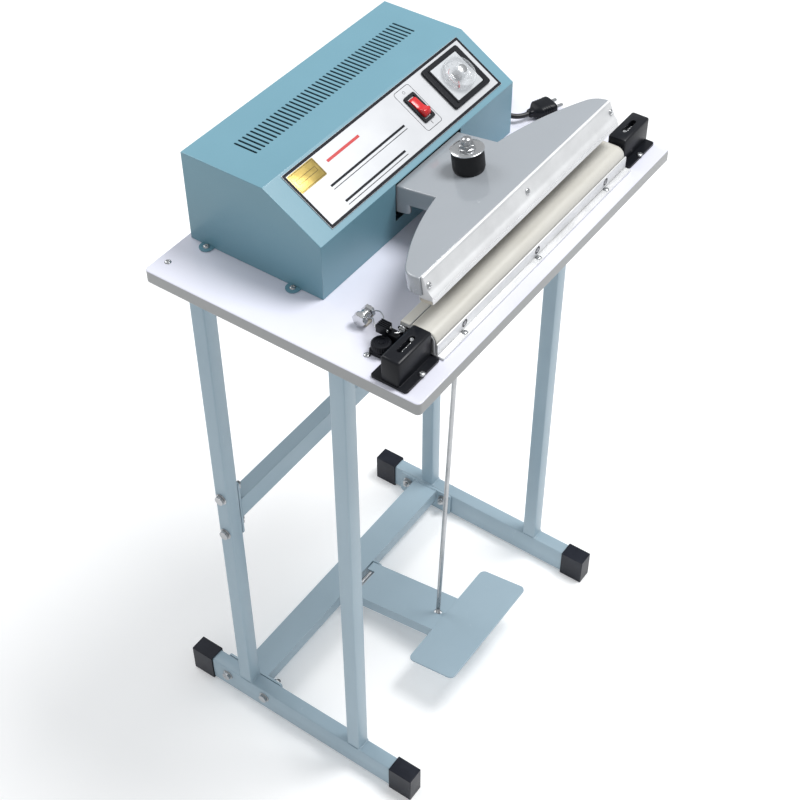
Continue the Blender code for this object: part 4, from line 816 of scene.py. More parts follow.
# the printed plate, rocker switch and timer on the slope
panel = {
    "middleX": 0.0003, "middle": 0.52, "halfU": 0.156, "halfV": 0.03625, "corner": 0.0012, "lift": 0.0003,
    "thick": 0.0008, "border": 0.0032, "white": (0.56, 0.57, 0.59), "whiter": (0.60, 0.61, 0.63),
    "frameX": (0.0270, 0.0545), "frameUp": (0.0185, 0.0726), "frameLine": 0.0006, "ink": 0.00004,
    # the on and off signs: above or below, half sizes, corner radius, line width
    "signs": ((1, 0.0018, 0.0018, 0.0018, 0.0004), (-1, 0.0004, 0.0020, 0.0003, 0.00035)),
    "signInset": 0.0055,
    "sticker": {"x": -0.1315, "up": 0.0635, "halfU": 0.0205, "halfV": 0.0115,
                "gold": (0.42, 0.30, 0.075), "pale": (0.62, 0.50, 0.20)},
    "rules": ((-0.073, 0.0620, 0.0270, 0.0016, "red"), (-0.055, 0.0400, 0.0640, 0.0013, "black"),
              (-0.055, 0.0355, 0.0640, 0.0004, "black"), (-0.067, 0.0190, 0.0520, 0.0013, "black"),
              (-0.067, 0.0145, 0.0520, 0.0004, "black")),
}
control = {
    "up": 0.54, "switchX": 0.0411, "rockerLift": 0.0020, "rockerTilt": -9, "rockerHalfX": 0.0054,
    "rockerHalfV": 0.0128, "timerX": 0.1108, "dialLift": 0.0047, "dialHalfU": 0.02425, "dialHalfV": 0.0220,
    "knobLift": 0.0061, "knobRadius": 0.0195, "knobHeight": 0.0138, "flutes": 30, "numbers": 10,
    "frame": (0.0262, 0.0240, 0.0016, 0.0012, 0, 0.0010), "frameLift": 0.0042,
    "dialStart": 225, "dialSweep": 270, "markEnd": 0.0180, "longMark": 0.0019, "shortMark": 0.0010,
    "numberReach": 0.0143, "numberSize": 0.0036, "arcs": ((225, 150), (140, 95)), "arcReach": 0.0105,
}
controlUp = case["slopeLength"] * control["up"]


def ringPoints(place, halfU, halfV, radius, width, low, high, steps=6):
    # a flat frame: the band between a rounded rectangle and the same one moved in by width
    outer = roundedBox(halfU, halfV, radius, steps)
    inner = roundedBox(halfU - width, halfV - width, max(radius - width, 0.0002), steps)
    rows = [np.column_stack([line, np.full(len(line), h)])
            for line, h in ((outer, low), (outer, high), (inner, high), (inner, low))]
    columns = len(outer)
    return carried(place, np.concatenate(rows)), ringFaces(4, columns)


def makePlate():
    # brushed white metal with printed lines: borders, ruled lines and the on and off signs
    f = Finish("plateWhite")
    lines = f.noise(0.0008, 3, 0.6, (0.03, 1, 1))
    tone = f.ramp(f.noise(0.06, 3, 0.5), (0.3, panel["white"]), (0.7, panel["whiter"]))
    f.set(Base_Color=f.mix(f.span(lines, 0, 0.10), tone, (0.46, 0.47, 0.49)))
    f.gloss(0.03, 4, 0.26, 0.36)
    f.set(Metallic=0.15, Coat_Weight=0.25)
    f.bump(lines, 0.00002, 0.3)
    middle = case["slopeLength"] * panel["middle"]
    place = slopePlace(panel["middleX"], middle, panel["lift"])
    t = panel["thick"]
    halfU, halfV = panel["halfU"], panel["halfV"]
    layers = [(0, 0), (0, t - 0.0002), (0.0002, t)]
    plate = linkMesh("plate_printed", *padPoints(place, halfU, halfV, panel["corner"], layers))
    standIn(plate, "nameplate", f.material)
    sunk, ink = t - 0.0002, t + panel["ink"]
    border = [ringPoints(place, halfU - 0.0003, halfV - 0.0003, panel["corner"], panel["border"], sunk, ink)]
    x0, x1 = panel["frameX"]
    s0, s1 = panel["frameUp"]
    middleX, middle = (x0 + x1) / 2, (s0 + s1) / 2
    halfU, halfV = (x1 - x0) / 2, (s1 - s0) / 2
    framePlace = slopePlace(middleX, middle, panel["lift"])
    border.append(ringPoints(framePlace, halfU, halfV, 0.0035, panel["frameLine"], sunk, ink))
    for side, u, v, radius, line in panel["signs"]:
        spot = slopePlace(middleX, middle + side * (halfV - panel["signInset"]), panel["lift"])
        border.append(ringPoints(spot, u, v, radius, line, sunk, ink, 8))
    rules = {"red": [], "black": []}
    for x, up, half, thick, colour in panel["rules"]:
        spot = slopePlace(x, up, panel["lift"])
        rules[colour].append(padPoints(spot, half, thick, 0.0003, [(0, sunk), (0, ink)], 3))
    keep(gathered("plate_lines", border + rules["black"], 20), "nameplate", blackPrint)
    keep(gathered("plate_stripe", rules["red"], 20), "nameplate", redPrint)


def makeSticker():
    # gold foil with a fine woven glint: the product of two sines, faded by clouds
    look = panel["sticker"]
    g = Finish("goldFoil")
    fine = g.maths("SINE", g.maths("MULTIPLY", g.along((0, slopeCos, slopeSin)), 9000.0))
    cross = g.maths("SINE", g.maths("MULTIPLY", g.along((1, 0, 0)), 5200.0))
    weave = g.span(g.maths("MULTIPLY", fine, cross), 0, 1, -0.6, 0.8)
    cloud = g.noise(0.006, 3, 0.6)
    g.set(Base_Color=g.mix(g.maths("MULTIPLY", weave, cloud), look["gold"], look["pale"]))
    g.set(Metallic=0.75, Roughness=g.span(cloud, 0.24, 0.40))
    g.bump(weave, 0.00004, 0.5)
    spot = slopePlace(look["x"], look["up"], panel["lift"] + panel["thick"])
    halfU, halfV = look["halfU"], look["halfV"]
    layers = [(0, 0), (0, 0.00010), (0.0001, 0.00014)]
    label = linkMesh("gold_label", *padPoints(spot, halfU, halfV, 0.0016, layers))
    keep(label, "nameplate", g.material)
    inks = [ringPoints(spot, u, v, radius, 0.0004, 0.0001, 0.00018)
            for u, v, radius in ((halfU - 0.0012, halfV - 0.0012, 0.0008), (halfU - 0.0052, 0.0028, 0.0006))]
    keep(gathered("gold_label_lines", inks, 20), "nameplate", blackPrint)


def makeRocker():
    # the top runs down from the far end to a valley and up over a rounded hump at the near end
    v = np.linspace(-1, 1, 33)
    halfV = control["rockerHalfV"]
    crest = 0.0030 + 0.0034 * np.exp(-((v + 0.66) / 0.30) ** 2) + 0.0012 * np.clip(v, 0, 1)
    crest *= np.sqrt(np.clip(1.03 - v**8, 0, 1))
    top = np.column_stack([v * halfV, crest])
    under = np.array([(halfV, -0.0002), (halfV * 0.5, -0.0024), (0, -0.0034), (-halfV * 0.5, -0.0024),
                      (-halfV, -0.0002)])
    outline = np.concatenate([top, under])
    rows = []
    insets = ((-1, 0.0007), (-0.97, 0.0003), (-0.88, 0.00005), (0, -0.0001), (0.88, 0.00005),
              (0.97, 0.0003), (1, 0.0007))
    for share, inset in insets:
        line = outline.copy()
        line[:len(v), 1] -= inset
        line[:, 0] *= 1 - inset / halfV
        rows.append(np.column_stack([np.full(len(line), share * control["rockerHalfX"]), line]))
    place = slopePlace(control["switchX"], controlUp, control["rockerLift"])
    place = place @ turnedBy(math.radians(control["rockerTilt"]), "X")
    points, faces = loftPoints(rows)
    f = Finish("redGloss")
    f.set(Base_Color=f.mix(f.noise(0.008, 2, 0.5), (0.52, 0.010, 0.014), (0.62, 0.018, 0.022)))
    f.gloss(0.01, 3, 0.24, 0.34)
    f.set(Coat_Weight=0.25, Coat_Roughness=0.15)
    f.bump(f.noise(0.0012, 2, 0.5), 0.00001, 0.4)
    standIn(linkMesh("rocker_red", carried(place, points), faces, 50), "switch_rocker", f.material)
    dress("switch_bezel", blackPlastic, 0.0005, 3)


def numberMesh(text, size, place, high):
    # a number as flat letters with a little thickness, made a mesh where it lies
    curve = bpy.data.curves.new("digit", "FONT")
    curve.body = text
    curve.size = size
    curve.align_x = "CENTER"
    curve.align_y = "CENTER"
    curve.extrude = high / 2
    curve.resolution_u = 3
    letter = linkThing("digit", curve)
    mesh = bpy.data.meshes.new_from_object(letter)
    spots = np.empty(len(mesh.vertices) * 3)
    mesh.vertices.foreach_get("co", spots)
    faces = [list(face.vertices) for face in mesh.polygons]
    bpy.data.objects.remove(letter)
    return carried(place, spots), faces


def makeTimer():
    # the square plate, its frame, the silver dial with marks and numbers, and two red arcs
    dress("timer_plate", blackPlastic, 0.0009, 3)
    spot = slopePlace(control["timerX"], controlUp, control["dialLift"])
    frameRing = ringPoints(slopePlace(control["timerX"], controlUp, control["frameLift"]), *control["frame"])
    keep(gathered("timer_frame", [frameRing]), "timer_plate", blackPlastic)
    f = Finish("dialSilver")
    lines = f.noise(0.0006, 3, 0.6, (0.05, 1, 1))
    f.set(Base_Color=f.mix(f.span(lines, 0, 0.4), (0.60, 0.62, 0.64), (0.44, 0.45, 0.47)), Metallic=0.35)
    f.gloss(0.01, 3, 0.24, 0.36)
    f.bump(lines, 0.00002, 0.3)
    layers = [(0, 0), (0, 0.0006), (0.0002, 0.0008)]
    halfU, halfV = control["dialHalfU"], control["dialHalfV"]
    dial = linkMesh("dial_silver", *padPoints(spot, halfU, halfV, 0.0010, layers))
    standIn(dial, "timer_dial", f.material)
    marks = []
    between = 5
    count = between * control["numbers"]
    for i in range(count + 1):
        angle = math.radians(control["dialStart"] - control["dialSweep"] * i / count)
        x, y = math.cos(angle), math.sin(angle)
        numbered = i % between == 0
        long = control["longMark"] if numbered else control["shortMark"]
        middle = control["markEnd"] - long / 2
        place = put(spot, middle * x, middle * y, 0.0008) @ turnedBy(angle, "Z")
        marks.append(padPoints(place, long / 2, 0.00018, 0.00005, [(0, -0.0001), (0, 0.00005)], 2))
        if numbered:
            reach = control["numberReach"]
            place = put(spot, reach * x, reach * y, 0.00082)
            marks.append(numberMesh(str(i // between), control["numberSize"], place, 0.00005))
    keep(gathered("dial_marks", marks, 20), "timer_dial", blackPrint)
    arcs = []
    reach = control["arcReach"]
    for start, end in control["arcs"]:
        angle = np.radians(np.linspace(start, end, 24))
        route = np.column_stack([reach * np.cos(angle), reach * np.sin(angle), angle * 0 + 0.00085])
        arcs.append(tubePoints(carried(spot, route), 0.0005, 6))
    keep(gathered("dial_arcs", arcs), "timer_dial", redPrint)


def makeKnob():
    # a clear turned dish with a raised grip, fluted round its rim by a rectified cosine
    place = slopePlace(control["timerX"], controlUp, control["knobLift"])
    r = control["knobRadius"]
    h = control["knobHeight"]
    profile = [(0, 0.0002), (r * 0.30, 0.0002), (r * 0.90, 0.0002), (r * 0.98, 0.0006), (r, 0.0014),
               (r, h * 0.50), (r * 0.985, h * 0.62), (r * 0.95, h * 0.66), (r * 0.90, h * 0.62),
               (r * 0.87, h * 0.46), (r * 0.80, h * 0.24), (r * 0.52, h * 0.20), (r * 0.42, h * 0.26),
               (r * 0.38, h * 0.84), (r * 0.35, h * 0.96), (r * 0.30, h), (r * 0.12, h * 0.99), (0, h * 0.98)]

    def flutes(angle, height, radius):
        edge = np.clip((radius / r - 0.90) / 0.08, 0, 1)
        return 1 - 0.018 * edge * (1 - np.abs(np.cos(angle * control["flutes"] / 2)))
    knob = lathe("knob_clear", profile, place, 180, flutes, 50)
    f = Finish("clearPlastic")
    f.set(Base_Color=f.mix(f.noise(0.004, 2, 0.5), (0.72, 0.74, 0.76), (0.82, 0.84, 0.86)), Alpha=0.30)
    f.gloss(0.006, 3, 0.04, 0.10)
    f.set(Coat_Weight=1.0, Coat_Roughness=0.03)
    f.bump(f.noise(0.002, 2, 0.5), 0.00002, 0.3)
    standIn(knob, "timer_knob", f.material)
    shaft = [(0, -0.015), (0.0028, -0.015), (0.0030, -0.0147), (0.0030, -0.0002), (0.0062, -0.0001),
             (0.0062, 0.0001), (0, 0.0001)]
    keep(lathe("knob_shaft", shaft, place, 32), "timer_knob", platedSteel)
    cap = [(0, h * 0.985), (r * 0.27, h * 0.99), (r * 0.27, h + 0.0001), (r * 0.20, h + 0.0005),
           (0, h + 0.0006)]
    keep(lathe("knob_cap", cap, place, 40), "timer_knob", chrome)
    needle = put(place @ turnedBy(math.radians(control["dialStart"]), "Z"), r * 0.66, 0, 0.0010)
    layers = [(0, 0), (0, 0.0006)]
    pointer = gathered("knob_pointer", [padPoints(needle, r * 0.22, 0.0006, 0.0005, layers, 4)])
    keep(pointer, "timer_knob", redPrint)


makePlate()
makeSticker()
makeRocker()
makeTimer()
makeKnob()
print("case and controls done")


# the jaw arm: a pressed steel plate with a skirt, modelled level and tilted open about its pivot
arm = {
    "pivot": (0.034, 0.806), "open": -8.1, "middleX": 0.006, "top": 0.8196, "gauge": 0.003, "skirt": 0.021,
    "front": -0.1474, "half": 0.1815, "arc": 0.337, "arcTop": -0.0768, "end": 0.022, "neck": 0.0585,
    "back": 0.066, "round": 0.0022, "sideFront": -0.047, "sideDepth": 0.033,
}
pivotY, pivotZ = arm["pivot"]
armTilt = (Matrix.Translation((0, pivotY, pivotZ)) @ Matrix.Rotation(math.radians(arm["open"]), 4, "X")
           @ Matrix.Translation((0, -pivotY, -pivotZ)))


def armPlan(inset):
    # straight in front, round ends, a great arc behind and a neck; inset moves the whole line inwards
    x = arm["middleX"]
    radius = arm["arc"] - inset
    centreY = arm["arcTop"] - arm["arc"]
    cornerX = arm["half"] - arm["end"]
    cornerY = centreY + math.sqrt((arm["arc"] - arm["end"]) ** 2 - cornerX**2)
    lean = math.atan2(cornerY - centreY, cornerX)
    neck = arm["neck"] - inset
    end = arm["end"] - inset
    a = np.linspace(0, lean, 14)
    b = np.linspace(lean, math.acos(neck / radius), 60)[1:]
    backY = arm["back"] - min(inset, 0.0003)
    right = np.concatenate([
        [[arm["half"] - inset, arm["front"] + inset]],
        np.column_stack([cornerX + end * np.cos(a), cornerY + end * np.sin(a)]),
        np.column_stack([radius * np.cos(b), centreY + radius * np.sin(b)]),
        [[neck, arm["back"] - 0.0020], [neck, backY]],
    ])
    left = right[::-1] * [-1, 1]
    return np.concatenate([right, left]) + [x, 0]


def makeArm():
    top = arm["top"]
    low = top - arm["skirt"]
    count = len(armPlan(0))
    atBack = np.zeros(count, bool)
    atBack[count // 2 - 1:count // 2 + 1] = True
    underside = top - arm["gauge"]

    def level(inset, z, foot=False):
        height = np.full(count, z)
        if foot:
            height[atBack] = underside - 0.0002
        return np.column_stack([armPlan(inset), height])
    g = arm["gauge"]
    rows = [level(g + 0.0008, underside), level(g, underside - 0.0008), level(g, low + 0.0003, True),
            level(g - 0.0004, low, True), level(0.0005, low, True), level(0, low + 0.0005, True)]
    r = arm["round"]
    for phi in np.radians(np.linspace(0, 90, 7)):
        rows.append(level(r * (1 - math.cos(phi)), top - r + r * math.sin(phi)))
    points, faces = loftPoints(rows)
    shell = linkMesh("arm_pressed", carried(armTilt, points), faces, 35)
    standIn(shell, "jaw_arm", armPaint)
    y0, y1, deep = arm["sideFront"], arm["back"], top - arm["sideDepth"]
    outline = np.array([(y0, top - 0.004), (y0, deep + 0.0060), (y0 + 0.0006, deep + 0.0030),
                        (y0 + 0.0022, deep + 0.0010), (y0 + 0.0052, deep), (y1 - 0.010, deep),
                        (y1, deep + 0.010), (y1, top - 0.004)])
    sides = []
    for x in (arm["middleX"] - arm["neck"] + 0.0003, arm["middleX"] + arm["neck"] - 0.0003 - g):
        centre = outline.mean(0)
        rows = []
        for across, inset in ((0, 0.0004), (0.0004, 0), (g - 0.0004, 0), (g, 0.0004)):
            line = outline + (centre - outline) * inset / 0.02
            rows.append(np.column_stack([np.full(len(line), x + across), line]))
        points, faces = loftPoints(rows)
        sides.append((carried(armTilt, points), faces))
    keep(gathered("arm_neck_sides", sides, 30), "jaw_arm", armPaint)


makeArm()

# the upper bar: an extruded section with a lip, a shallow band under it and a flat face
bar = {
    "left": -0.173, "length": 0.358,
    "section": ((-0.1580, 0.7945), (-0.1585, 0.7950), (-0.1588, 0.7983), (-0.1585, 0.7988), (-0.1560, 0.8018),
                (-0.1549, 0.8034), (-0.1541, 0.8055), (-0.1514, 0.8150), (-0.1509, 0.8164),
                (-0.1503, 0.8181), (-0.1509, 0.8185), (-0.1502, 0.8200), (-0.1495, 0.8204), (-0.1480, 0.8204),
                (-0.1477, 0.8201), (-0.1477, 0.7983), (-0.1433, 0.7983), (-0.1430, 0.7980), (-0.1430, 0.7948),
                (-0.1433, 0.7945)),
    "channel": ((-0.1589, 0.7946), (-0.1589, 0.7903), (-0.1583, 0.7903), (-0.1583, 0.7942),
                (-0.1435, 0.7942), (-0.1435, 0.7903), (-0.1429, 0.7903), (-0.1429, 0.7946)),
    "screwsX": (-0.1690, 0.0090, 0.1800), "screwFace": (-0.1531, 0.8092), "screwFaces": (0, -0.0178, 0.0073),
    "screwSize": (0.0036, 0.0020),
}


def extrudePoints(section, x0, x1, place=None, edge=0.0002):
    # an outline in Y and Z carried along X, its ends a hair smaller
    line = np.asarray(section, float)
    centre = line.mean(0)
    small = line + (centre - line) * 0.02
    rows = [np.column_stack([np.full(len(line), x), outline])
            for x, outline in ((x0, small), (x0 + edge, line), (x1 - edge, line), (x1, small))]
    points, faces = loftPoints(rows)
    return (carried(place, points) if place else points), faces


def makeUpperBar():
    # the extruded bar, its screws, the rubber strip and the channel that holds it
    x0 = bar["left"]
    x1 = x0 + bar["length"]
    piece = linkMesh("upper_bar_extruded", *extrudePoints(bar["section"], x0, x1, armTilt), smoothUnder=25)
    standIn(piece, "upper_jaw_bar", jawMetal)
    y, z = bar["screwFace"]
    places = turned([(x, y - 0.0001, z) for x in bar["screwsX"]], 30, 50, bar["screwFaces"])
    screws("bar_screws", "upper_jaw_bar", [armTilt @ place for place in places], bar["screwSize"])
    dress("silicone_strip", siliconeGum, 0.0007, 2)
    piece = linkMesh("strip_channel", *extrudePoints(bar["channel"], x0 - 0.0004, x1 + 0.0004, armTilt),
                     smoothUnder=25)
    keep(piece, "upper_jaw_bar", jawMetal)


makeUpperBar()

# the stack on the arm: rubber cushion, washer, nut and domed nut
cushion = {
    "place": (0.006, -0.085, 0.8199), "radius": 0.0172, "height": 0.0235, "bulge": 0.0003,
    "bore": 0.0068, "washer": 0.0182, "nut": 0.0094, "nutBase": 0.0019, "dome": 0.0062, "domeFoot": 0.0086,
}


def makeCushion():
    # turned profiles in metres above the arm: the rubber bulges by a sine, the dome is an ellipse
    place = armTilt @ Matrix.Translation(cushion["place"])
    r, h = cushion["radius"], cushion["height"]
    t = np.linspace(0, 1, 15)
    full = np.minimum(1, 8 * np.minimum(t, 1 - t))
    side = np.column_stack([r - 0.0010 + cushion["bulge"] * np.sin(np.pi * t) + 0.0010 * full, t * h])
    bore = cushion["bore"]
    profile = [(bore, 0), *side, (bore, h), (bore, 0)]
    standIn(lathe("cushion_rubber", profile, place, 64, smoothUnder=50), "rubber_cushion", blackRubber)
    w = cushion["washer"]
    washer = [(0.0036, 0.0002), (w - 0.0004, 0.0002), (w, 0.0005), (w, 0.0014), (w - 0.0005, 0.0018),
              (0.0040, 0.0018), (0.0036, 0.0015), (0.0036, 0.0002)]
    up = put(place, 0, 0, h)
    standIn(lathe("cushion_washer_plate", washer, up, 72), "cushion_washer", chrome)
    n, d = cushion["nut"], cushion["dome"]
    base = cushion["nutBase"]
    foot = cushion["domeFoot"]
    nut = [(0, 0), (n * 0.96, 0), (n * 0.96, 0.0009), (n * 0.90, 0.0010), (n * 0.93, 0.0016),
           (n * 0.93, 0.0048), (n * 0.80, 0.0054), (d, 0.0055), (d, foot)]
    phi = np.radians(np.linspace(0, 86, 10))
    nut += list(zip(d * 0.97 * np.cos(phi), foot + d * 0.66 * np.sin(phi)))
    nut = np.array([*nut, (0, foot + d * 0.66)]) + (0, base)
    piece = lathe("cushion_nut_domed", nut, up, 72, hexWave((base + 0.0014, base + 0.0050)), 34)
    standIn(piece, "cushion_nut", platedSteel)


makeCushion()
print("arm and upper jaw done")

# the lower jaw: its extrusion, the cloth over it, the tape on its rail, the clamp strip and screws
jaw = {
    "left": -0.1865, "right": 0.185, "flangeTop": 0.7688, "ribs": (-0.1795, -0.1777, -0.1758),
    "clothBack": -0.1421, "clothTop": 0.7933, "bendY": -0.1615, "bendRadius": 0.0096, "clothFoot": 0.7785,
    "clothThick": 0.0003, "ripple": 0.00006, "coverLength": 0.3695, "tapeLength": 0.3722,
    "railBack": -0.1307, "railFront": -0.1411, "railTop": 0.79372, "railFoot": 0.7880, "tapeThick": 0.00022,
    "clampFace": -0.1738, "clampScrewsX": (-0.1393, -0.0026, 0.1391), "clampScrewZ": 0.7772,
    "flangeScrewsX": (-0.1429, -0.0036, 0.1377), "flangeScrewY": -0.1765,
    "clampScrewSize": (0.0026, 0.0010), "flangeScrewSize": (0.0034, 0.0017),
}
cloth = {
    "cream": (0.545, 0.53, 0.48), "paler": (0.60, 0.588, 0.545), "brown": (0.44, 0.40, 0.33),
    "worn": 0.30, "sealAt": 0.0052, "threads": 12000.0,
}
# the rail's tape: the cover's cloth without its darker band, its colours painted paler than the cover's, a
# painted light that offsets the shade under the arm
railClothPaintedLight = dict(cloth, cream=(0.66, 0.645, 0.58), paler=(0.71, 0.695, 0.64), worn=0.0)


def clothFinish(name, look):
    # a fine glass weave under a satin film, browner in a band along the sheet about sealAt, under the
    # silicone strip
    f = Finish(name)
    along = f.maths("SINE", f.maths("MULTIPLY", f.uv("X"), look["threads"]))
    across = f.maths("SINE", f.maths("MULTIPLY", f.uv("Y"), look["threads"]))
    weave = f.maths("MULTIPLY", along, across)
    cloud = f.noise(0.02, 4, 0.6, (0.25, 1, 1))
    tone = f.ramp(cloud, (0.3, look["cream"]), (0.7, look["paler"]))
    away = f.maths("ABSOLUTE", f.maths("SUBTRACT", f.uv("Y"), look["sealAt"]))
    worn = f.span(away, look["worn"], 0, 0, 0.006)
    f.set(Base_Color=f.mix(worn, tone, look["brown"]))
    f.set(Roughness=f.span(cloud, 0.34, 0.48), Sheen_Weight=0.15)
    height = f.maths("ADD", f.maths("MULTIPLY", weave, 0.3), f.noise(0.004, 3, 0.6))
    f.bump(height, 0.00006, 0.5)
    return f.material


def makeSheet(name, route, x0, x1, step, ripple):
    # a line in Y and Z carried along X; ripple lifts it by a slow product of sines
    line = evenPath(np.column_stack([np.zeros(len(route)), route]), 0.0006)[:, 1:]
    run = runAlong(line)
    x = np.linspace(x0, x1, int((x1 - x0) / step))
    grid = np.zeros((len(line), len(x), 3))
    grid[..., 0] = x[None, :]
    grid[..., 1:] = line[:, None]
    slope = np.gradient(line, axis=0)
    slope /= np.linalg.norm(slope, axis=1, keepdims=True)
    outward = np.column_stack([-slope[:, 1], slope[:, 0]])
    if outward[len(line) // 2, 1] < 0:
        outward = -outward
    wave = np.sin(x[None, :] * 95 + run[:, None] * 210) * np.sin(x[None, :] * 41 + 1.3)
    grid[..., 1:] += outward[:, None] * (ripple * wave * np.sin(np.pi * run / run[-1])[:, None])[..., None]
    uv = np.stack([np.broadcast_to(x[None, :], wave.shape), np.broadcast_to(run[:, None], wave.shape)], -1)
    piece = linkMesh(name, grid, gridFaces(len(line), len(x), False), 60, uv.reshape(-1, 2))
    middle = piece.data.polygons[len(piece.data.polygons) // 2]
    if middle.normal.z < 0:
        piece.data.flip_normals()
    return piece, run[-1]


def solid(piece, thickness):
    wall = piece.modifiers.new("thickness", "SOLIDIFY")
    wall.thickness = thickness
    wall.offset = -1
    return piece


def makeCloth():
    bend = np.radians(np.linspace(90, 180, 14))
    r = jaw["bendRadius"]
    back, top = jaw["clothBack"], jaw["clothTop"]
    route = [(back, 0.7909), (back, 0.7927), (back - 0.0006, top)]
    route += [(y, top) for y in np.linspace(-0.1440, jaw["bendY"] + 0.0005, 20)]
    route += [(jaw["bendY"] + r * math.cos(a), top - r + r * math.sin(a)) for a in bend]
    route += [(jaw["bendY"] - r, jaw["clothFoot"])]
    cover, length = makeSheet("cloth_cover", np.array(route), jaw["left"] + 0.001, jaw["right"] - 0.001,
                              0.003, jaw["ripple"])
    standIn(solid(cover, jaw["clothThick"]), "ptfe_cloth", clothFinish("glassCloth", cloth))
    # the tape over the rail, in paler cloth colours that are painted light against the arm's shade
    front, back, top = jaw["railFront"], jaw["railBack"], jaw["railTop"]
    rail = [(front, 0.7916), (front, 0.7932), (front + 0.0005, top)]
    rail += [(y, top) for y in np.linspace(front + 0.001, back - 0.001, 8)]
    rail += [(back - 0.0004, top), (back, top - 0.0005), (back, jaw["railFoot"])]
    tape, length = makeSheet("rail_tape", np.array(rail), jaw["left"] - 0.0012, jaw["right"] - 0.0005,
                             0.004, jaw["ripple"] * 0.5)
    keep(solid(tape, jaw["tapeThick"]), "lower_jaw", clothFinish("railClothPaintedLight", railClothPaintedLight))


def makeLowerJaw():
    dress("lower_jaw", jawMetal, 0.00025, 1)
    makeCloth()
    ribs = []
    z = jaw["flangeTop"]
    for y in jaw["ribs"]:
        line = [(y + 0.0004 * math.cos(a), z + 0.00035 * math.sin(a)) for a in np.linspace(0, math.pi, 7)]
        section = [(y + 0.0004, z - 0.0002), *line, (y - 0.0004, z - 0.0002)]
        ribs.append(extrudePoints(section, jaw["left"] + 0.0003, jaw["right"] - 0.0003))
    keep(gathered("flange_ribs", ribs), "lower_jaw", jawMetal)
    dress("cloth_clamp", jawMetal, 0.0003, 2)
    spots = [(x, jaw["clampFace"], jaw["clampScrewZ"]) for x in jaw["clampScrewsX"]]
    cup = [(0.0052, -0.0012), (0.0052, 0.0002), (0.0049, 0.0003), (0.0046, 0.0002), (0.0044, -0.0012),
           (0.0052, -0.0012)]
    # black discs flush in the screw cups round the clamp screws: painted shade that darkens the recesses
    well = [(0, -0.0008), (0.0047, -0.0008), (0.0047, 0.00005), (0, 0.00006)]
    forward = (0, -1, 0)
    cups = [lathePoints(cup, placeAt(spot, forward), 40) for spot in spots]
    keep(gathered("clamp_cups", cups), "cloth_clamp", jawMetal)
    paintedShadeDiscs = [lathePoints(well, placeAt(spot, forward), 32) for spot in spots]
    keep(gathered("clamp_painted_shade", paintedShadeDiscs), "cloth_clamp", blackPlastic)
    screws("clamp_screws", "cloth_clamp", turned(spots, 25, 60, forward), jaw["clampScrewSize"], springSteel)
    places = turned([(x, jaw["flangeScrewY"], z) for x in jaw["flangeScrewsX"]], 10, 35)
    screws("flange_screws", "lower_jaw", places, jaw["flangeScrewSize"])


makeLowerJaw()

# the end brackets, what lies in their slots, and the tension gear behind the left one
ends = {
    "corner": 0.0013, "screws": ((-0.2160, -0.1757, 0.7695), (0.2145, -0.1757, 0.7695)), "slotX": 0.2165,
    "slotY": -0.1575, "springZ": 0.7932, "springRadius": 0.0019, "wire": 0.00045, "springLength": 0.015,
    "knob": (-0.2105, -0.124, 0.7679), "knobRadius": 0.0105, "flutes": 28,
    "block": (-0.1985, -0.1185, 0.7866), "eye": (-0.1902, -0.1345, 0.7868), "postShift": 0.0098,
    "turns": 9, "ribs": 5, "ribPitch": 0.0024,
    "screwSize": (0.0037, 0.0019), "blockScrewSize": (0.0018, 0.0010), "clipScrewSize": (0.0021, 0.0012),
}


def makeBrackets():
    # the moulded ends, with a coil spring (a helix along X) and a post in each one's slot
    for sideName, side in (("left", -1), ("right", 1)):
        node = f"end_bracket_{sideName}"
        dress(node, blackPlastic, ends["corner"], 3)
        x, y, z = side * ends["slotX"], ends["slotY"], ends["springZ"]
        t = np.linspace(0, 1, 220)
        r = ends["springRadius"]
        angle = t * 2 * ends["turns"] * np.pi
        coil = [x + ends["springLength"] * (t - 0.5), y + r * np.cos(angle), z + r * np.sin(angle)]
        spring = gathered(f"slot_spring_{sideName}", [tubePoints(np.column_stack(coil), ends["wire"], 8)])
        keep(spring, node, chrome)
        post = [(0, -0.004), (0.0017, -0.004), (0.0017, 0.0030), (0.0024, 0.0032), (0.0024, 0.0046),
                (0.0018, 0.0052), (0, 0.0053)]
        spot = placeAt((x - side * ends["postShift"], y, z))
        keep(lathe(f"slot_post_{sideName}", post, spot, 28), node, chrome)
    screws("bracket_screws", "end_bracket_left", turned(ends["screws"], 30, 50), ends["screwSize"])


def makeTensionGear():
    # the knurled knob: its rim steps in by a twentieth wherever cos(flutes * angle) is negative
    r = ends["knobRadius"]

    def knurl(angle, height, radius):
        edge = np.clip((radius / r - 0.9) / 0.05, 0, 1)
        return 1 - 0.05 * edge * (np.cos(angle * ends["flutes"]) < 0)
    profile = [(0, 0), (0.0030, 0), (0.0030, 0.0042), (r - 0.0008, 0.0042), (r, 0.0048), (r, 0.0106),
               (r - 0.0010, 0.0118), (r * 0.72, 0.0120), (r * 0.68, 0.0112), (r * 0.30, 0.0112),
               (r * 0.26, 0.0120), (0, 0.0120)]
    piece = lathe("tension_knob_knurled", profile, Matrix.Translation(ends["knob"]), 168, knurl, 40)
    standIn(piece, "tension_knob", blackPlastic)


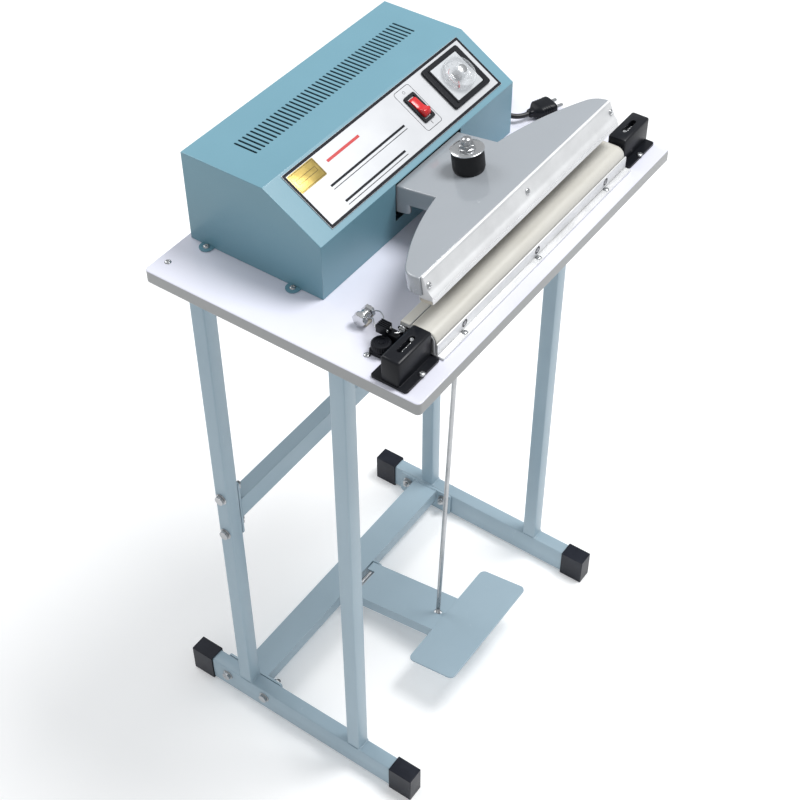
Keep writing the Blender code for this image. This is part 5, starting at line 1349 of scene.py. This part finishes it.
def makeElementEnd():
    # the connector block, and the clip that holds the element's end
    node = "end_bracket_left"
    spot = Matrix.Translation(ends["block"])
    layers = [(0.0004, -0.0045), (0, -0.0041), (0, 0.0035), (0.0005, 0.0040)]
    body = [padPoints(spot, 0.0058, 0.0062, 0.0010, layers)]
    for i in range(ends["ribs"]):
        rib = put(spot, (i - (ends["ribs"] - 1) / 2) * ends["ribPitch"], 0, 0.0038)
        body.append(padPoints(rib, 0.0007, 0.0060, 0.0003, [(0, 0), (0, 0.0012), (0.0002, 0.0014)], 3))
    keep(gathered("wire_block", body), node, blackPlastic)
    places = [put(spot, across, -0.0062, 0.0005) @ turnedBy(math.pi / 2, "X") for across in (-0.003, 0.003)]
    screws("wire_block_screws", node, places, ends["blockScrewSize"])
    x, y, z = ends["eye"]
    a = np.linspace(0, 2 * np.pi, 40, endpoint=False)
    eye = np.column_stack([x + a * 0, y + 0.0040 * np.cos(a), z + 0.0034 * np.sin(a)])
    clip = [tubePoints(eye, 0.0009, 10, closed=True)]
    tongue = Matrix.Translation((x + 0.0034, y, z - 0.0016))
    clip.append(padPoints(tongue, 0.0038, 0.0042, 0.0010, [(0, 0), (0, 0.0010), (0.0003, 0.0013)]))
    stem = np.array([(-0.0012, 0, -0.0030), (-0.0040, 0.001, -0.0024), (-0.0075, 0.0035, -0.0018)])
    clip.append(tubePoints(smoothPath(stem + (x, y, z), 6), 0.0010, 10))
    keep(gathered("element_clip", clip), node, chrome)
    places = [placeAt((x + 0.0036, y, z - 0.0003), turn=40)]
    screws("element_clip_screw", node, places, ends["clipScrewSize"])


makeBrackets()
makeTensionGear()
makeElementEnd()

# the terminal: a hexagon bolt through a collar, with two thin leads to the block
terminal = {"middle": (-0.1845, -0.085, 0.7755), "head": 0.0082, "nut": 0.0076, "wire": 0.0006,
            "leads": (((-0.1775, -0.0905, 0.7790), (-0.1790, -0.1000, 0.7835), (-0.1850, -0.1085, 0.7850),
                       (-0.1935, -0.1130, 0.7845), (-0.1957, -0.1160, 0.7830)),
                      ((-0.1905, -0.0915, 0.7790), (-0.1915, -0.1000, 0.7842), (-0.1985, -0.1070, 0.7855),
                       (-0.2030, -0.1130, 0.7845), (-0.2020, -0.1180, 0.7825)))}


def makeTerminal():
    # one turned profile whose two ends are hexagons, and two thin leads that curve to the block
    h, n = terminal["head"], terminal["nut"]
    profile = [(0, -0.0112), (h * 0.80, -0.0112), (h, -0.0106), (h, -0.0066), (h * 0.97, -0.0060),
               (0.0078, -0.0059), (0.0078, -0.0050), (0.0056, -0.0049), (0.0056, -0.0022), (0.0050, -0.0018),
               (0.0056, -0.0014), (0.0056, 0.0012), (0.0050, 0.0016), (0.0056, 0.0020), (0.0056, 0.0044),
               (n, 0.0045), (n, 0.0085), (n * 0.82, 0.0092), (0.0034, 0.0092), (0.0032, 0.0118),
               (0.0026, 0.0122), (0, 0.0122)]
    hexes = hexWave((-0.0109, -0.0063), (0.0043, 0.0088))
    piece = lathe("terminal_hex", profile, placeAt(terminal["middle"], (1, 0, 0), 8), 72, hexes, 32)
    standIn(piece, "terminal_bolt", chrome)
    dress("terminal_pad", siliconeGum, 0.0006, 2)
    for i, spots in enumerate(terminal["leads"]):
        route = evenPath(smoothPath(spots, 10), 0.0008)
        wire = linkMesh(f"element_lead_{i + 1}", *tubePoints(route, terminal["wire"], 10))
        keep(wire, "terminal_bolt", platedSteel)


makeTerminal()
print("lower jaw and brackets done")


# the mains lead: out of its relief, wound into a tied hank behind the case's end, then to its plug
lead = {
    "exit": (0.1986, 0.135, 0.776), "radius": 0.003, "bend": 0.025, "straight": 0.0134,
    "hankX": 0.2105, "frontY": 0.0405, "backY": 0.0815, "outer": 0.0265, "pitch": 0.0062, "floorZ": 0.7702,
    "plug": (0.2045, -0.035, 0.7742), "plugTurn": -22, "leave": 83, "tieWidth": 0.0055, "tieThick": 0.0006,
    "lastLap": 0.313, "plugNeck": 0.0033,
    "plugLength": 0.034, "plugSquare": 0.62, "pinAt": 0.030, "pinSpread": 0.006,
    "tieSpread": 0.006,
}
# each lap shifts one place while it runs from start to end, as shares of its way round: it moves
# inwards by columns and upwards by layers. A later lap shifts first, so no two laps ever meet
laps = (
    {"column": 0, "layer": 0, "inwards": 1, "upwards": 0, "start": 0.76, "end": 1.00},
    {"column": 1, "layer": 0, "inwards": 0, "upwards": 1, "start": 0.64, "end": 0.84},
    {"column": 1, "layer": 1, "inwards": -1, "upwards": 0, "start": 0.50, "end": 0.70},
    {"column": 0, "layer": 1, "inwards": 0, "upwards": 1, "start": 0.36, "end": 0.56},
)


def roundHank(u, radius, height):
    # one lap: down the right side, round the front, up the left side, round the back
    side = lead["backY"] - lead["frontY"]
    whole = 2 * side + 2 * math.pi * lead["outer"]
    straight = side / whole
    half = 0.5 - straight
    x = lead["hankX"]
    front = np.pi * np.clip((u - straight) / half, 0, 1)
    back = np.pi * np.clip((u - 0.5 - straight) / half, 0, 1)
    turn = -front - back
    onRight = np.clip(u / straight, 0, 1)
    onLeft = np.clip((u - 0.5) / straight, 0, 1)
    middle = lead["backY"] - side * onRight + side * onLeft
    return np.column_stack([x + radius * np.cos(turn), middle + radius * np.sin(turn), height])


def leadPath():
    # the start falls and the tail sinks by the same smooth step as the laps' shifts
    ex, ey, ez = lead["exit"]
    b = lead["bend"]
    out = np.linspace(0, lead["straight"], 6)[:-1]
    parts = [np.column_stack([ex + out, out * 0 + ey])]
    a = np.radians(np.linspace(0, 90, 16))
    parts.append(np.column_stack([ex + lead["straight"] + b * np.sin(a), ey - b + b * np.cos(a)]))
    run = np.linspace(ey - b, lead["backY"], 12)[1:-1]
    parts.append(np.column_stack([run * 0 + lead["hankX"] + lead["outer"], run]))
    flat = np.concatenate(parts)
    gone = runAlong(flat)
    drop = (ez - lead["floorZ"]) * eased(gone / gone[-1])
    route = [np.column_stack([flat, ez - drop])]
    u = np.linspace(0, 1, 90, endpoint=False)
    for lap in laps:
        moved = eased((u - lap["start"]) / (lap["end"] - lap["start"]))
        radius = lead["outer"] - lead["pitch"] * (lap["column"] + lap["inwards"] * moved)
        height = lead["floorZ"] + lead["pitch"] * (lap["layer"] + lap["upwards"] * moved)
        route.append(roundHank(u, radius, height))
    topZ = lead["floorZ"] + 2 * lead["pitch"]
    u = np.linspace(0, lead["lastLap"], 28)
    route.append(roundHank(u, u * 0 + lead["outer"], u * 0 + topZ))
    turn = math.radians(lead["plugTurn"])
    heading = np.array([math.cos(turn), math.sin(turn)])
    px, py, pz = lead["plug"]
    foot = np.array([px, py]) - heading * lead["plugNeck"]
    centre = foot + np.array([-heading[1], heading[0]]) * b
    last = 270 + lead["plugTurn"]
    share = np.linspace(0.02, 1, 30)
    a = np.radians(lead["leave"] + (last - lead["leave"]) * share)
    route.append(np.column_stack([centre[0] + b * np.cos(a), centre[1] + b * np.sin(a),
                                  topZ + (pz - topZ) * eased(share)]))
    route.append(np.array([[*(np.array([px, py]) - heading * 0.0003), pz]]))
    return np.concatenate(route)


def plugPoints(place):
    # a moulded plug: rounded sections that swell from the neck, with grip hollows at its sides
    rings = 34
    sides = 56
    t = np.linspace(0, 1, rings)
    swell = eased((t - 0.10) / 0.34)
    wide = 0.0048 + (0.0130 - 0.0048) * swell
    thick = 0.0046 + (0.0080 - 0.0046) * swell
    grip = 0.0007 * (1 - np.cos(2 * np.pi * np.clip((t - 0.42) / 0.09, 0, 4))) * (t > 0.42) * (t < 0.78)
    wide = wide - grip
    for half in (wide, thick):
        half[-3:] -= [0.0001, 0.0006, 0.0018]
        half[:3] -= [0.0012, 0.0004, 0.0001]
    angle = np.linspace(0, 2 * np.pi, sides, endpoint=False)
    u, v = (np.sign(w) * np.abs(w) ** lead["plugSquare"] for w in (np.cos(angle), np.sin(angle)))
    reach = np.broadcast_to((t * lead["plugLength"])[:, None], (rings, sides))
    rows = np.stack([reach, wide[:, None] * u, thick[:, None] * v], -1)
    points, faces = loftPoints(rows)
    return carried(place, points), faces


def makeRelief():
    # a flange, then ribs that grow smaller towards the lead
    low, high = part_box("strain_relief")
    middle = middleOf("strain_relief")
    profile = [(0, 0), (0.0038, 0), (0.0038, 0.0055), (0.0058, 0.0057), (0.0058, 0.0096), (0.0050, 0.0104)]
    reach = high.x - low.x
    ribs = 6
    ribbed = reach - 0.0125
    half = ribbed / (2 * ribs)
    for i in range(ribs):
        a = 0.0112 + ribbed * i / ribs
        b = a + half
        r = 0.0049 - 0.0011 * i / ribs
        profile += [(r, a), (r, b), (r - 0.0007, b + 0.0002), (r - 0.0007, b + half - 0.0002)]
    profile += [(0.0037, reach - 0.0006), (0.0034, reach), (0, reach)]
    place = placeAt((low.x, middle.y, middle.z), (1, 0, 0))
    relief = lathe("relief_ribbed", profile, place, 36, smoothUnder=35)
    return standIn(relief, "strain_relief", blackRubber)


def makeTies():
    ties = []
    t, w = lead["tieThick"], lead["tieWidth"]
    middleY = (lead["frontY"] + lead["backY"]) / 2
    halfU = lead["pitch"] / 2 + lead["radius"] + 0.0001 + t
    halfV = lead["pitch"] + lead["radius"] + 0.0001 + t
    for side in (-1, 1):
        spot = (lead["hankX"] + side * (lead["outer"] - lead["pitch"] / 2),
                middleY + side * lead["tieSpread"] - w / 2, lead["floorZ"] + lead["pitch"])
        place = Matrix.Translation(spot) @ turnedBy(-math.pi / 2, "X")
        ties.append(ringPoints(place, halfU, halfV, 0.0031, t, 0, w, 8))
    keep(gathered("hank_ties", ties), "cord_hank", blackPlastic)


def makeLead():
    relief = makeRelief()
    route = evenPath(leadPath(), 0.0030)
    sheath = linkMesh("lead_sheath", *tubePoints(route, lead["radius"], 16), smoothUnder=60)
    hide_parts("cord_lead", "cord_hank", "cord_tail")
    keep(sheath, "cord_hank", cordSheath)
    place = Matrix.Translation(lead["plug"]) @ turnedBy(math.radians(lead["plugTurn"]), "Z")
    plug = linkMesh("plug_moulded", *plugPoints(place), smoothUnder=50)
    standIn(plug, "plug", blackPlastic)
    pins = []
    profile = [(0, 0), (0.0020, 0), (0.0020, 0.0135), (0.0016, 0.0146), (0.0008, 0.0150), (0, 0.0150)]
    for side in (-1, 1):
        spot = put(place, lead["pinAt"], side * lead["pinSpread"], 0) @ turnedBy(math.pi / 2, "Y")
        pins.append(lathePoints(profile, spot, 28))
    pin = keep(gathered("plug_pins", pins), "plug", platedSteel)
    makeTies()


makeLead()
print("lead done")
